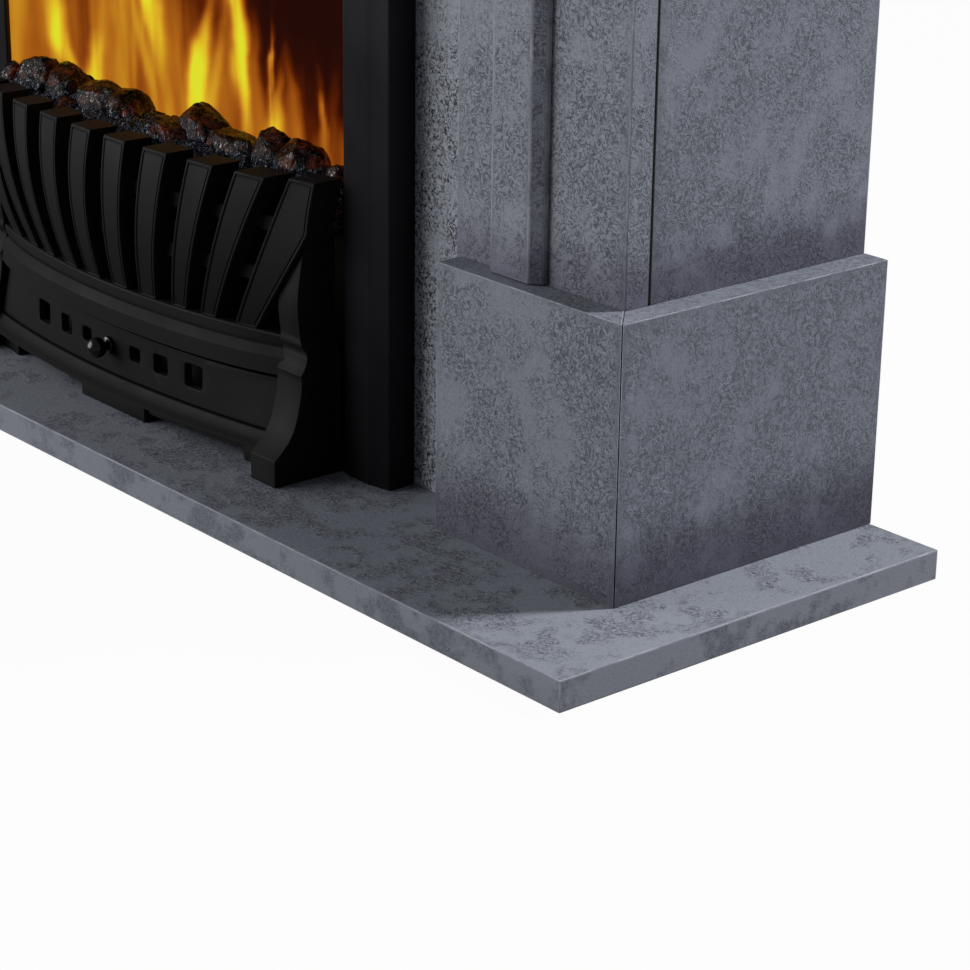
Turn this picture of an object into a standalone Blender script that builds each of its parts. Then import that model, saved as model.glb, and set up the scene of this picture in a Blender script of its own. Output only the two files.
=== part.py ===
"""Electric fireplace suite: a stone-effect board mantel on a hearth slab, with an inset electric fire.

Metres, +Z up, front towards -Y, +X to the right as one faces the fire. The origin is the middle of
the hearth slab's underside. Left pieces mirror the right ones.
"""
import math

import bmesh
import bpy
from mathutils import Matrix, Vector

# Overall sizes of the mantel
SUITE_WIDTH = 1.100
SUITE_DEPTH = 0.318
SUITE_HEIGHT = 1.000
SLAB_THICK = 0.020
BOARD = 0.0193
TOUCH = 0.0003
ARRIS = 0.0006
ARRIS_ANGLE = 30
SMOOTH_ANGLE = 40
MERGE = 1e-6

# Plinths, columns and capitals
PLINTH_END_INSET = 0.0572
PLINTH_FRONT_SETBACK = 0.0933
PLINTH_WIDTH = 0.1686
PLINTH_HEIGHT = 0.176
CAPITAL_HEIGHT = 0.100
COLUMN_WIDTH = 0.1535
CLEAT = 0.025
CLEAT_SHORT = 0.010

# Pilaster strips and frieze strip share one moulding section
STRIP_FACE = 0.0343
STRIP_BEVEL = 0.0076
STRIP_SHOULDER = 0.0034
STRIP_THICK = 0.0096
STRIP_CENTRE_FROM_COLUMN_EDGE = 0.0613
STRIP_FOOT_GAP = 0.0008
FRIEZE_HEIGHT = 0.170
FRIEZE_STRIP_LENGTH = 0.520

# Shelf and its bed moulding
SHELF_THICK = 0.020
MOULDING_THICK = 0.020
MOULDING_OVERHANG = 0.0193

# Timber rails and steel brackets at the back
REAR_RAIL_TOP = 0.098
REAR_RAIL_FOOT = 0.060
BRACKET_LEG = 0.036
BRACKET_WIDTH = 0.030
BRACKET_STEEL = 0.002
BRACKET_HOLE = 0.0025
BRACKET_X = 0.300

# Electric fire: trim frame and steel casing
TRIM_WIDTH = 0.5096
TRIM_HEIGHT = 0.602
TRIM_DEPTH = 0.025
TRIM_SHEET = 0.0016
OPENING_WIDTH = 0.418
OPENING_HEIGHT = 0.545
CASING_WIDTH = 0.450
CASING_HEIGHT = 0.585
CASING_REAR_CLEARANCE = 0.0196
CASING_SHEET = 0.0016
PANEL_HOLE_CLEARANCE = 0.008
COVER_SLOT_COUNT = 9
COVER_SLOT = 0.006
COVER_SLOT_LENGTH = 0.090
COVER_SLOT_PITCH = 0.016
COVER_SLOT_TOP = 0.150

# Ember shelf, flame screen, fuel bed and the lamps under it
BED_SHELF_RISE = 0.161
BED_SHELF_SHEET = 0.002
BED_SHELF_BACK = 0.042
BED_WINDOW_LENGTH = 0.300
BED_WINDOW_WIDTH = 0.014
LAMP_STRIP_LENGTH = 0.340
LAMP_STRIP_WIDTH = 0.026
LAMP_STRIP_THICK = 0.0016
SCREEN_SHEET = 0.003
SCREEN_TOP_GAP = 0.0005
SCREEN_WING_X = 0.035
SCREEN_WING_Y = 0.034
BED_BLOCK = 0.026
BED_BACK_GAP = 0.006
BED_FRONT_GAP = 0.0009
COAL_SIZE = 0.020
COAL_STRETCH = (1.15, 0.90, 0.95)
COAL_RISE = 0.060
COAL_SINK = 0.002
COALS_ALONG = 10
COAL_TURN_STEP = 12.9
COAL_LIFT_STEP = 4.1
SMALL_COAL_SET = 0.7
BED_FRONT_POINTS = 9
BED_TAPER = 0.028

# Fret (the cast fire-basket front)
FRET_WIDTH = 0.4096
FRET_POST = 0.0274
FRET_BACK_GAP = 0.0015
FRET_REACH = 0.0582
BOW_RADIUS_FOOT = 0.950
BOW_RADIUS_SILL = 0.670
BOW_RADIUS_TOP = 0.885
SILL_TOP = 0.095
BAND_TOP = 0.076
PAN_TOP = 0.0660
PAN_FOOT = 0.0300
BEAM_DEPTH = 0.016
BAND_PROUD = 0.003
SKIRT_SETBACK = 0.001
BOW_STEPS = 16
BAR_LEVELS = 5
BAR_TOP = 0.2022
BAR_DEPTH = 0.018
BAR_BELLY = 0.006
BAR_CURVE = 0.007
BAR_PROUDEST = 0.155
BAR_CURVE_REACH = 0.054
RAIL_SETBACK = 0.010
RAIL_HEIGHT = 0.010
RAIL_DEPTH = 0.007
RAIL_TOPS = (0.1385, 0.1750)
POST_LAP = FRET_POST / 3
SKIRT_ARCH = 0.007
CENTRE_FOOT_HALF = 0.041
SKIRT_FOOT_X = 0.147
# Sections of the two beams: how far each point lies behind the bars' face, and its height above the slab
UPPER_BEAM = (
    (-BAND_PROUD, PAN_TOP),
    (-BAND_PROUD, BAND_TOP),
    (-0.0010, 0.0810),
    (0.0025, 0.0845),
    (0.0025, 0.0865),
    (0.0002, 0.0865),
    (0.0020, SILL_TOP),
    (BEAM_DEPTH, 0.0970),
    (BEAM_DEPTH, PAN_TOP),
)
LOWER_BEAM = (
    (SKIRT_SETBACK, SKIRT_ARCH),
    (SKIRT_SETBACK, 0.0180),
    (-0.0085, 0.0195),
    (-0.0085, 0.0210),
    (-0.0020, 0.0285),
    (-0.0005, PAN_FOOT),
    (BEAM_DEPTH, PAN_FOOT),
    (BEAM_DEPTH, SKIRT_ARCH),
)
# Side view of an end post: how far each point falls short of the basket's reach, and its height
POST_SIDE = (
    (0.0047, 0.0000),
    (0.0048, 0.0183),
    (0.0138, 0.0267),
    (0.0209, 0.0370),
    (0.0256, 0.0530),
    (0.0278, 0.0677),
    (0.0273, 0.0735),
    (0.0303, 0.0776),
    (0.0323, 0.0835),
    (0.0314, 0.0879),
    (0.0274, 0.0929),
    (0.0260, 0.1005),
    (0.0246, 0.1139),
    (0.0248, 0.1268),
    (0.0276, 0.1469),
    (0.0303, 0.1574),
    (0.0331, 0.1714),
    (0.0405, 0.2022),
)
# Each bar of the right half: left and right edge on the sill, then at its top, and how far it swells outwards
BARS = (
    (0.0077, 0.0262, 0.0085, 0.0340, 0.0080),
    (0.0400, 0.0589, 0.0545, 0.0803, 0.0090),
    (0.0752, 0.0905, 0.1015, 0.1265, 0.0120),
    (0.1040, 0.1193, 0.1469, 0.1739, 0.0120),
    (0.1375, 0.1560, 0.1830, 0.2300, 0.0180),
)
LEAF_BAR_SETBACK = 0.010

# Ash pan: bowed front with windows, knob, tray and runners
PAN_FRONT_THICK = 0.006
PAN_RECESS = 0.0065
PAN_GROOVE = 0.0010
PAN_WINDOW_RISE = 0.048
PAN_WINDOWS = ((0.031, 0.0128, 0.0110), (0.061, 0.0157, 0.0141), (0.0966, 0.0183, 0.0168))
KNOB_RADIUS = 0.0075
KNOB_STAND = 0.0105
KNOB_FLANGE_RADIUS = 0.0065
KNOB_FLANGE_THICK = 0.0030
KNOB_NECK_RADIUS = 0.0030
KNOB_LAST_ANGLE = 150
KNOB_STEP_ANGLE = 12
KNOB_SHANK_RADIUS = 0.0020
KNOB_NUT_RADIUS = 0.0045
KNOB_NUT_THICK = 0.0030
RUNNING = 0.0005
SPIN_FIT = 0.0001
TRAY_WIDTH = 0.320
TRAY_LENGTH = 0.140
TRAY_HEIGHT = 0.022
TRAY_SHEET = 0.0012
RUNNER_SHEET = 0.0012
RUNNER_LEDGE = 0.018
RUNNER_FOOT = 0.014

# Controls and heater in the head of the fire
HEAD_STRIP = 0.034
HEAD_SHEET = 0.0015
CONTROL_WIDTH = 0.128
HEAD_SETBACK = 0.0015
HEAD_CLEARANCE = 0.0030
SWITCH_WIDTH = 0.013
SWITCH_HEIGHT = 0.019
SWITCH_DEPTH = 0.012
SWITCH_PITCH = 0.021
SWITCH_CROWN = 0.0025
SWITCH_TOP_PROUD = 0.0009
SWITCH_VALLEY = 0.0014
DIAL_RADIUS = 0.010
DIAL_LENGTH = 0.012
DIAL_SHANK = 0.003
DIAL_OFFSET = 0.048
DIAL_ARRIS = 0.001
DIAL_GROOVE = 0.0015
THERMOSTAT_RADIUS = 0.012
THERMOSTAT_LENGTH = 0.024
HEATER_DEPTH = 0.108
HEATER_SHEET = 0.0012
GRILLE_SLOTS = 22
GRILLE_SLOT = 0.006
GRILLE_SLOT_HEIGHT = 0.022
IMPELLER_RADIUS = 0.022
IMPELLER_BLADES = 12
IMPELLER_BLADE = 0.0010
IMPELLER_DISC = 0.0020
IMPELLER_MARGIN = 0.026
IMPELLER_BLADE_DEPTH = 0.0062
IMPELLER_BLADE_SET = 0.0182
IMPELLER_BLADE_LEAN = 35
SHAFT_RADIUS = 0.0030
FAN_MOTOR_RADIUS = 0.019
FAN_MOTOR_LENGTH = 0.022
BUSH_RADIUS = 0.007
BUSH_LENGTH = 0.008
ELEMENT_DEPTH = 0.010
ELEMENT_FINS = 14
ELEMENT_SPINE = 0.006
ELEMENT_RISE = 0.017
ELEMENT_FIN_SHARE = 0.3

# Flame drum behind the screen
DRUM_RADIUS = 0.020
DRUM_RISE = 0.200
DRUM_BEHIND_SCREEN = 0.032
DRUM_PADDLES = 9
DRUM_PADDLE = 0.026
DRUM_SHEET = 0.0010
DRUM_PADDLE_TURN = 40
DRUM_MOTOR_RADIUS = 0.017
DRUM_MOTOR_LENGTH = 0.020

# Cable gland in the back cover
GLAND_RADIUS = 0.0085
GLAND_BORE = 0.0040
GLAND_HOLE = 0.0060
GLAND_HEAD = 0.005
GLAND_X = -0.170
GLAND_RISE = 0.060

# Levels and planes worked out from the sizes above
FRONT = -SUITE_DEPTH / 2
WALL = SUITE_DEPTH / 2
FLOOR = SLAB_THICK + TOUCH
PLINTH_OUTER = SUITE_WIDTH / 2 - PLINTH_END_INSET
PLINTH_INNER = PLINTH_OUTER - PLINTH_WIDTH
PLINTH_FRONT = FRONT + PLINTH_FRONT_SETBACK
PLINTH_TOP = FLOOR + PLINTH_HEIGHT
COLUMN_OUTER = PLINTH_OUTER - BOARD - TOUCH
COLUMN_INNER = COLUMN_OUTER - COLUMN_WIDTH
COLUMN_FRONT = PLINTH_FRONT + BOARD + TOUCH
COLUMN_BACK = COLUMN_FRONT + BOARD
PANEL_FRONT = COLUMN_BACK + TOUCH
PANEL_BACK = PANEL_FRONT + BOARD
SHELF_FOOT = SUITE_HEIGHT - SHELF_THICK
MOULDING_FOOT = SHELF_FOOT - TOUCH - MOULDING_THICK
COLUMN_TOP = MOULDING_FOOT - TOUCH
SIDE_INNER = COLUMN_OUTER - BOARD
TRIM_BACK = PANEL_FRONT - TOUCH
TRIM_FRONT = TRIM_BACK - TRIM_DEPTH
CASING_FRONT = TRIM_FRONT + TRIM_SHEET + TOUCH
CASING_BACK = WALL - BOARD - CASING_REAR_CLEARANCE
CASING_TOP = FLOOR + CASING_HEIGHT
CASING_IN = CASING_WIDTH / 2 - CASING_SHEET
OPENING_TOP = FLOOR + OPENING_HEIGHT
PANEL_HOLE_HALF = CASING_WIDTH / 2 + PANEL_HOLE_CLEARANCE
PANEL_HOLE_TOP = CASING_TOP + PANEL_HOLE_CLEARANCE
SHELF_Z = FLOOR + BED_SHELF_RISE
SHELF_REAR = CASING_FRONT + BED_SHELF_BACK
HEAD_FOOT = OPENING_TOP - HEAD_STRIP
HEAD_FRONT = CASING_FRONT + HEAD_SETBACK
HEAD_BACK = HEAD_FRONT + HEAD_SHEET
FRET_HALF = FRET_WIDTH / 2
POST_INNER = FRET_HALF - FRET_POST
FRET_BACK = TRIM_FRONT + FRET_BACK_GAP
BASKET_FRONT = TRIM_FRONT - FRET_REACH

SIDES = (("left", -1), ("right", 1))


def clear_scene():
    for obj in list(bpy.data.objects):
        bpy.data.objects.remove(obj)


def new_collection(name):
    group = bpy.data.collections.new(name)
    bpy.context.scene.collection.children.link(group)
    return group


clear_scene()
PARTS = new_collection("electric_fireplace_suite")
CUTTERS = new_collection("cutters")
FRET_PIECES = new_collection("fret pieces")
COALS = new_collection("coal lumps")


def paint(name, colour, roughness, metallic):
    """Plain Principled material from an sRGB colour"""
    material = bpy.data.materials.new(name)
    material.use_nodes = True
    shader = material.node_tree.nodes["Principled BSDF"]
    linear = [((c + 0.055) / 1.055) ** 2.4 if c > 0.04045 else c / 12.92 for c in colour]
    shader.inputs["Base Color"].default_value = (*linear, 1.0)
    shader.inputs["Roughness"].default_value = roughness
    shader.inputs["Metallic"].default_value = metallic
    return material


def mesh_object(name, bm, group=None):
    """Object from a bmesh, with its faces turned outwards"""
    bmesh.ops.recalc_face_normals(bm, faces=bm.faces)
    mesh = bpy.data.meshes.new(name)
    bm.to_mesh(mesh)
    bm.free()
    obj = bpy.data.objects.new(name, mesh)
    (group or PARTS).objects.link(obj)
    return obj


def block(name, x, y, z, group=None):
    """Box between low and high pairs along each axis"""
    size = Vector((x[1] - x[0], y[1] - y[0], z[1] - z[0]))
    bm = bmesh.new()
    bmesh.ops.create_cube(bm, size=1, matrix=Matrix.Diagonal((*size, 1)))
    obj = mesh_object(name, bm, group)
    obj.location = Vector((x[0], y[0], z[0])) + size / 2
    return obj


def prism(name, outline, axis, low, high, group=None):
    """Flat outline drawn in the other two axes and pulled along one axis"""
    curve = bpy.data.curves.new(name, "CURVE")
    curve.dimensions = "2D"
    curve.fill_mode = "BOTH"
    curve.extrude = (high - low) / 2
    spline = curve.splines.new("POLY")
    spline.points.add(len(outline) - 1)
    for point, (u, v) in zip(spline.points, outline):
        point.co = (u, v, 0, 1)
    spline.use_cyclic_u = True
    drawn = bpy.data.objects.new(name + " outline", curve)
    CUTTERS.objects.link(drawn)
    middle = (low + high) / 2
    turns = {
        "x": Matrix(((0, 0, 1, 0), (1, 0, 0, 0), (0, 1, 0, 0), (0, 0, 0, 1))),
        "y": Matrix(((1, 0, 0, 0), (0, 0, -1, 0), (0, 1, 0, 0), (0, 0, 0, 1))),
        "z": Matrix.Identity(4),
    }
    along = {"x": (middle, 0, 0), "y": (0, middle, 0), "z": (0, 0, middle)}
    drawn.matrix_world = Matrix.Translation(along[axis]) @ turns[axis]
    bpy.context.view_layer.update()
    graph = bpy.context.evaluated_depsgraph_get()
    mesh = bpy.data.meshes.new_from_object(drawn.evaluated_get(graph))
    bm = bmesh.new()
    bm.from_mesh(mesh)
    bmesh.ops.remove_doubles(bm, verts=bm.verts, dist=MERGE)
    obj = mesh_object(name, bm, group)
    obj.matrix_world = drawn.matrix_world
    bpy.data.objects.remove(drawn)
    bpy.data.curves.remove(curve)
    bpy.data.meshes.remove(mesh)
    return obj


def rod(name, axis, centre, radius, low, high, group=None, sides=24):
    """Cylinder along one axis; centre holds the other two coordinates in x, y, z order"""
    bm = bmesh.new()
    bmesh.ops.create_cone(bm, cap_ends=True, segments=sides, radius1=radius, radius2=radius,
                          depth=high - low)
    obj = mesh_object(name, bm, group)
    middle = (low + high) / 2
    u, v = centre
    if axis == "x":
        obj.location = (middle, u, v)
        obj.rotation_euler = (0, math.pi / 2, 0)
    elif axis == "y":
        obj.location = (u, middle, v)
        obj.rotation_euler = (math.pi / 2, 0, 0)
    else:
        obj.location = (u, v, middle)
    obj.data.shade_smooth()
    obj.data.set_sharp_from_angle(angle=math.radians(SMOOTH_ANGLE))
    return obj


def turned(name, profile, location, rotation, steps=24):
    """Turned piece: (radius, height) points run from top to bottom about local Z"""
    bm = bmesh.new()
    points = [bm.verts.new((radius, 0, height)) for radius, height in profile]
    for low, high in zip(points, points[1:]):
        bm.edges.new((low, high))
    mesh = bpy.data.meshes.new(name)
    bm.to_mesh(mesh)
    bm.free()
    obj = bpy.data.objects.new(name, mesh)
    PARTS.objects.link(obj)
    obj.location = location
    obj.rotation_euler = rotation
    spin = obj.modifiers.new("turned", "SCREW")
    spin.steps = steps
    spin.render_steps = steps
    spin.use_merge_vertices = True
    spin.merge_threshold = 0.00001
    spin.use_smooth_shade = True
    return obj


def hide_tool(tool):
    tool.hide_render = True
    tool.display_type = "WIRE"
    for group in tool.users_collection:
        group.objects.unlink(tool)
    CUTTERS.objects.link(tool)


def cut(obj, tool):
    """Take a hidden tool's shape out of a piece"""
    hide_tool(tool)
    step = obj.modifiers.new("cut " + tool.name, "BOOLEAN")
    step.operation = "DIFFERENCE"
    step.object = tool


def join_group(obj, group):
    """Fuse every piece of a hidden group to one body"""
    for piece in group.objects:
        piece.hide_render = True
        piece.display_type = "WIRE"
    step = obj.modifiers.new("fused " + group.name, "BOOLEAN")
    step.operation = "UNION"
    step.operand_type = "COLLECTION"
    step.collection = group


def break_edges(obj, width=ARRIS):
    """Small flat arris on every sharp edge"""
    step = obj.modifiers.new("arris", "BEVEL")
    step.width = width
    step.segments = 1
    step.limit_method = "ANGLE"
    step.angle_limit = math.radians(ARRIS_ANGLE)


def give(obj, material):
    obj.data.materials.append(material)
    return obj


def side_span(side, inner, outer):
    """Low and high x of a piece on one side"""
    return tuple(sorted((side * inner, side * outer)))


def cut_across(obj, stations, axis):
    """Edge loops square to one axis at the given places, in the mesh's own coordinates"""
    normal = Vector([1.0 if axis == n else 0.0 for n in "xyz"])
    bm = bmesh.new()
    bm.from_mesh(obj.data)
    for place in stations:
        everything = bm.verts[:] + bm.edges[:] + bm.faces[:]
        bmesh.ops.bisect_plane(bm, geom=everything, dist=MERGE / 10, plane_co=normal * place, plane_no=normal)
    bm.to_mesh(obj.data)
    bm.free()


def settle(obj):
    """Write the object's place into its mesh"""
    obj.data.transform(obj.matrix_basis)
    obj.matrix_basis = Matrix.Identity(4)


def curvature(rise):
    """Bow of the fret at a height above the slab"""
    foot, sill, top = 1 / BOW_RADIUS_FOOT, 1 / BOW_RADIUS_SILL, 1 / BOW_RADIUS_TOP
    if rise < SILL_TOP:
        share = max(rise - PAN_FOOT, 0.0) / (SILL_TOP - PAN_FOOT)
        return foot + (sill - foot) * share
    share = min((rise - SILL_TOP) / (BAR_TOP - SILL_TOP), 1.0)
    return sill + (top - sill) * share


def bow(x, rise):
    """How far back the bowed fret lies at x"""
    return x * x * curvature(rise) / 2


def bend(obj, stations):
    """Bow a straight piece that was pulled along X"""
    settle(obj)
    cut_across(obj, stations, "x")
    for vertex in obj.data.vertices:
        vertex.co.y += bow(vertex.co.x, vertex.co.z - SLAB_THICK)


def stations_across(half, count):
    return [half * (2 * n / count - 1) for n in range(1, count)]


def moulding_section(middle, face):
    """Strip section: square shoulders, sloping sides and a flat face; y is the way it stands out"""
    half = STRIP_FACE / 2
    foot = half + STRIP_BEVEL
    shoulder = face - STRIP_SHOULDER
    front = face - STRIP_THICK
    return [(middle - foot, face), (middle + foot, face), (middle + foot, shoulder),
            (middle + half, front), (middle - half, front), (middle - foot, shoulder)]


def make_slab(stone):
    slab = block("hearth_slab", (-SUITE_WIDTH / 2, SUITE_WIDTH / 2), (FRONT, WALL), (0, SLAB_THICK))
    break_edges(slab)
    give(slab, stone)


def make_cladding(name, side, foot, top, stone):
    """Front and side boards round a column, mitred at their corner"""
    seam = TOUCH / math.sqrt(2)
    outer, inner = PLINTH_OUTER, PLINTH_INNER
    face, back = PLINTH_FRONT, PLINTH_FRONT + BOARD
    front_outline = [(inner, face), (outer - seam, face), (outer - BOARD - seam, back), (inner, back)]
    side_outline = [(outer, face + seam), (outer, WALL), (outer - BOARD, WALL), (outer - BOARD, back + seam)]
    label = "left" if side < 0 else "right"
    for piece, outline in (("front", front_outline), ("side", side_outline)):
        turned_over = [(side * x, y) for x, y in outline]
        board = prism("%s_%s_%s" % (name, piece, label), turned_over, "z", foot, top)
        break_edges(board)
        give(board, stone)


def make_columns(stone, timber):
    for label, side in SIDES:
        front = block("column_front_" + label, side_span(side, COLUMN_INNER, COLUMN_OUTER),
                      (COLUMN_FRONT, COLUMN_BACK), (FLOOR, COLUMN_TOP))
        flank = block("column_side_" + label, side_span(side, SIDE_INNER, COLUMN_OUTER),
                      (PANEL_FRONT, WALL), (FLOOR, COLUMN_TOP))
        for board in (front, flank):
            break_edges(board)
            give(board, stone)
        make_cladding("plinth", side, FLOOR, PLINTH_TOP, stone)
        make_cladding("capital", side, COLUMN_TOP - CAPITAL_HEIGHT, COLUMN_TOP, stone)
        cleat_outer = SIDE_INNER - TOUCH
        cleat = block("corner_cleat_" + label, side_span(side, cleat_outer - CLEAT, cleat_outer),
                      (PANEL_BACK + TOUCH, PANEL_BACK + TOUCH + CLEAT), (FLOOR, COLUMN_TOP - CLEAT_SHORT))
        give(cleat, timber)


def make_strips(stone):
    face = COLUMN_FRONT - TOUCH
    middle = COLUMN_INNER + STRIP_CENTRE_FROM_COLUMN_EDGE
    foot = PLINTH_TOP + STRIP_FOOT_GAP
    top = COLUMN_TOP - CAPITAL_HEIGHT - STRIP_FOOT_GAP
    for label, side in SIDES:
        strip = prism("pilaster_strip_" + label, moulding_section(side * middle, face), "z", foot, top)
        give(strip, stone)
    # The frieze strip lies along X, so its section is drawn in y and z
    level = COLUMN_TOP - FRIEZE_HEIGHT / 2
    section = [(y, z) for z, y in moulding_section(level, face)]
    strip = prism("frieze_strip", section, "x", -FRIEZE_STRIP_LENGTH / 2, FRIEZE_STRIP_LENGTH / 2)
    give(strip, stone)


def make_panels(stone):
    half = COLUMN_INNER - TOUCH
    frieze = block("frieze_board", (-half, half), (COLUMN_FRONT, COLUMN_BACK),
                   (COLUMN_TOP - FRIEZE_HEIGHT, COLUMN_TOP))
    break_edges(frieze)
    give(frieze, stone)
    reach = SIDE_INNER - TOUCH
    hole, top = PANEL_HOLE_HALF, PANEL_HOLE_TOP
    outline = [(-reach, FLOOR), (-hole, FLOOR), (-hole, top), (hole, top), (hole, FLOOR), (reach, FLOOR),
               (reach, COLUMN_TOP), (-reach, COLUMN_TOP)]
    panel = prism("surround_panel", outline, "y", PANEL_FRONT, PANEL_BACK)
    give(panel, stone)


def make_shelf(stone):
    half = PLINTH_OUTER + MOULDING_OVERHANG
    moulding = block("shelf_moulding", (-half, half), (PLINTH_FRONT - MOULDING_OVERHANG, WALL),
                     (MOULDING_FOOT, MOULDING_FOOT + MOULDING_THICK))
    shelf = block("shelf_board", (-SUITE_WIDTH / 2, SUITE_WIDTH / 2), (FRONT, WALL),
                  (SHELF_FOOT, SUITE_HEIGHT))
    for board in (moulding, shelf):
        break_edges(board)
        give(board, stone)


def make_back(timber, zinc):
    half = SIDE_INNER - TOUCH
    rear = (WALL - BOARD, WALL)
    foot = COLUMN_TOP - REAR_RAIL_TOP
    give(block("rear_rail_top", (-half, half), rear, (foot, COLUMN_TOP)), timber)
    give(block("rear_rail_foot", (-half, half), rear, (FLOOR, FLOOR + REAR_RAIL_FOOT)), timber)
    for label, side in SIDES:
        top = foot - TOUCH
        inner = top - BRACKET_STEEL
        outline = [(WALL - BRACKET_LEG, top), (WALL - BRACKET_LEG, inner), (WALL - BRACKET_STEEL, inner),
                   (WALL - BRACKET_STEEL, top - BRACKET_LEG), (WALL, top - BRACKET_LEG), (WALL, top)]
        low, high = side * BRACKET_X - BRACKET_WIDTH / 2, side * BRACKET_X + BRACKET_WIDTH / 2
        bracket = prism("wall_bracket_" + label, outline, "x", low, high)
        hole = rod("bracket hole " + label, "y", (side * BRACKET_X, top - BRACKET_LEG / 2), BRACKET_HOLE,
                   WALL - BRACKET_LEG / 2, WALL + BRACKET_LEG / 2)
        cut(bracket, hole)
        give(bracket, zinc)


def make_trim(black):
    """Pressed frame: a shallow pan open at the back, with the fire's opening cut through its face"""
    half = TRIM_WIDTH / 2
    frame = block("trim_frame", (-half, half), (TRIM_FRONT, TRIM_BACK), (FLOOR, FLOOR + TRIM_HEIGHT))
    inside = half - TRIM_SHEET
    below = FLOOR - TRIM_DEPTH
    cut(frame, block("trim hollow", (-inside, inside), (TRIM_FRONT + TRIM_SHEET, TRIM_BACK + TRIM_DEPTH),
                     (below, FLOOR + TRIM_HEIGHT - TRIM_SHEET)))
    mouth = OPENING_WIDTH / 2
    cut(frame, block("trim mouth", (-mouth, mouth), (TRIM_FRONT - TRIM_DEPTH, TRIM_BACK),
                     (below, OPENING_TOP)))
    give(frame, black)


def make_casing(black):
    """Folded sleeve of sheet steel, closed at the back by a slotted cover"""
    half = CASING_WIDTH / 2
    casing = block("casing", (-half, half), (CASING_FRONT, CASING_BACK), (FLOOR, CASING_TOP))
    cut(casing, block("casing hollow", (-CASING_IN, CASING_IN),
                      (CASING_FRONT - CASING_REAR_CLEARANCE, CASING_BACK + CASING_REAR_CLEARANCE),
                      (FLOOR + CASING_SHEET, CASING_TOP - CASING_SHEET)))
    give(casing, black)
    back = (CASING_BACK + TOUCH, CASING_BACK + TOUCH + CASING_SHEET)
    cover = block("back_cover", (-half, half), back, (FLOOR, CASING_TOP))
    row = COVER_SLOT_COUNT - 1
    for n in range(COVER_SLOT_COUNT):
        x = COVER_SLOT_PITCH * (n - row / 2)
        top = CASING_TOP - COVER_SLOT_TOP
        cut(cover, block("cover slot %d" % n, (x - COVER_SLOT / 2, x + COVER_SLOT / 2),
                         (back[0] - COVER_SLOT, back[1] + COVER_SLOT), (top - COVER_SLOT_LENGTH, top)))
    cut(cover, rod("gland hole", "y", (GLAND_X, FLOOR + GLAND_RISE), GLAND_HOLE + TOUCH,
                   back[0] - GLAND_HEAD, back[1] + GLAND_HEAD))
    give(cover, black)


def make_gland(rubber):
    """Grommet that the mains lead comes out of; the lead itself is left out"""
    face = CASING_BACK + TOUCH + CASING_SHEET + TOUCH
    inner = CASING_BACK - GLAND_HEAD
    profile = [(GLAND_BORE, inner), (GLAND_HOLE, inner), (GLAND_HOLE, face), (GLAND_RADIUS, face),
               (GLAND_RADIUS, face + GLAND_HEAD), (GLAND_BORE, face + GLAND_HEAD), (GLAND_BORE, inner)]
    top_down = [(radius, -y) for radius, y in profile]
    gland = turned("mains_gland", top_down, (GLAND_X, 0, FLOOR + GLAND_RISE), (math.pi / 2, 0, 0))
    give(gland, rubber)


def basket_front(x, rise):
    """Front face of the bars: bowed in plan and bellied in height"""
    belly = BAR_CURVE * ((rise - BAR_PROUDEST) / BAR_CURVE_REACH) ** 2
    return BASKET_FRONT + belly + bow(x, rise)


def bar_edge(sill, top, swell, rise):
    """Where a bar's edge stands at a height: a flare that swells outwards a little on the way up"""
    share = (rise - SILL_TOP) / (BAR_TOP - SILL_TOP)
    return min(sill + (top - sill) * share + swell * share * (1 - share), FRET_HALF - TOUCH)


def make_bar(number, side, edges):
    """One flared bar, with its face on the bowed front"""
    sill_low, sill_high, top_low, top_high, swell = edges
    root = SILL_TOP - BEAM_DEPTH / 2
    label = "fret bar %d %s" % (number, "left" if side < 0 else "right")
    bar = block(label, (0, 1), (0, 1), (root, BAR_TOP), FRET_PIECES)
    settle(bar)
    cut_across(bar, [root + (BAR_TOP - root) * n / BAR_LEVELS for n in range(1, BAR_LEVELS)], "z")
    leaf = number == len(BARS)
    for vertex in bar.data.vertices:
        across, back, rise = vertex.co
        low = bar_edge(sill_low, top_low, swell, rise)
        high = bar_edge(sill_high, top_high, swell, rise)
        x = low + (high - low) * across
        y = basket_front(x, rise) + back * BAR_DEPTH
        if leaf:
            y += LEAF_BAR_SETBACK * max((rise - SILL_TOP) / (BAR_TOP - SILL_TOP), 0.0)
        vertex.co = (side * x, y, SLAB_THICK + rise)
    if side < 0:
        bar.data.flip_normals()


def post_outline():
    """Side view of an end post: scrolled foot, cove, hollow face and the long lean at the top"""
    face = [(TRIM_FRONT - FRET_REACH + short, FLOOR + rise) for short, rise in POST_SIDE]
    return face + [(FRET_BACK, FLOOR + BAR_TOP), (FRET_BACK, FLOOR)]


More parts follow.
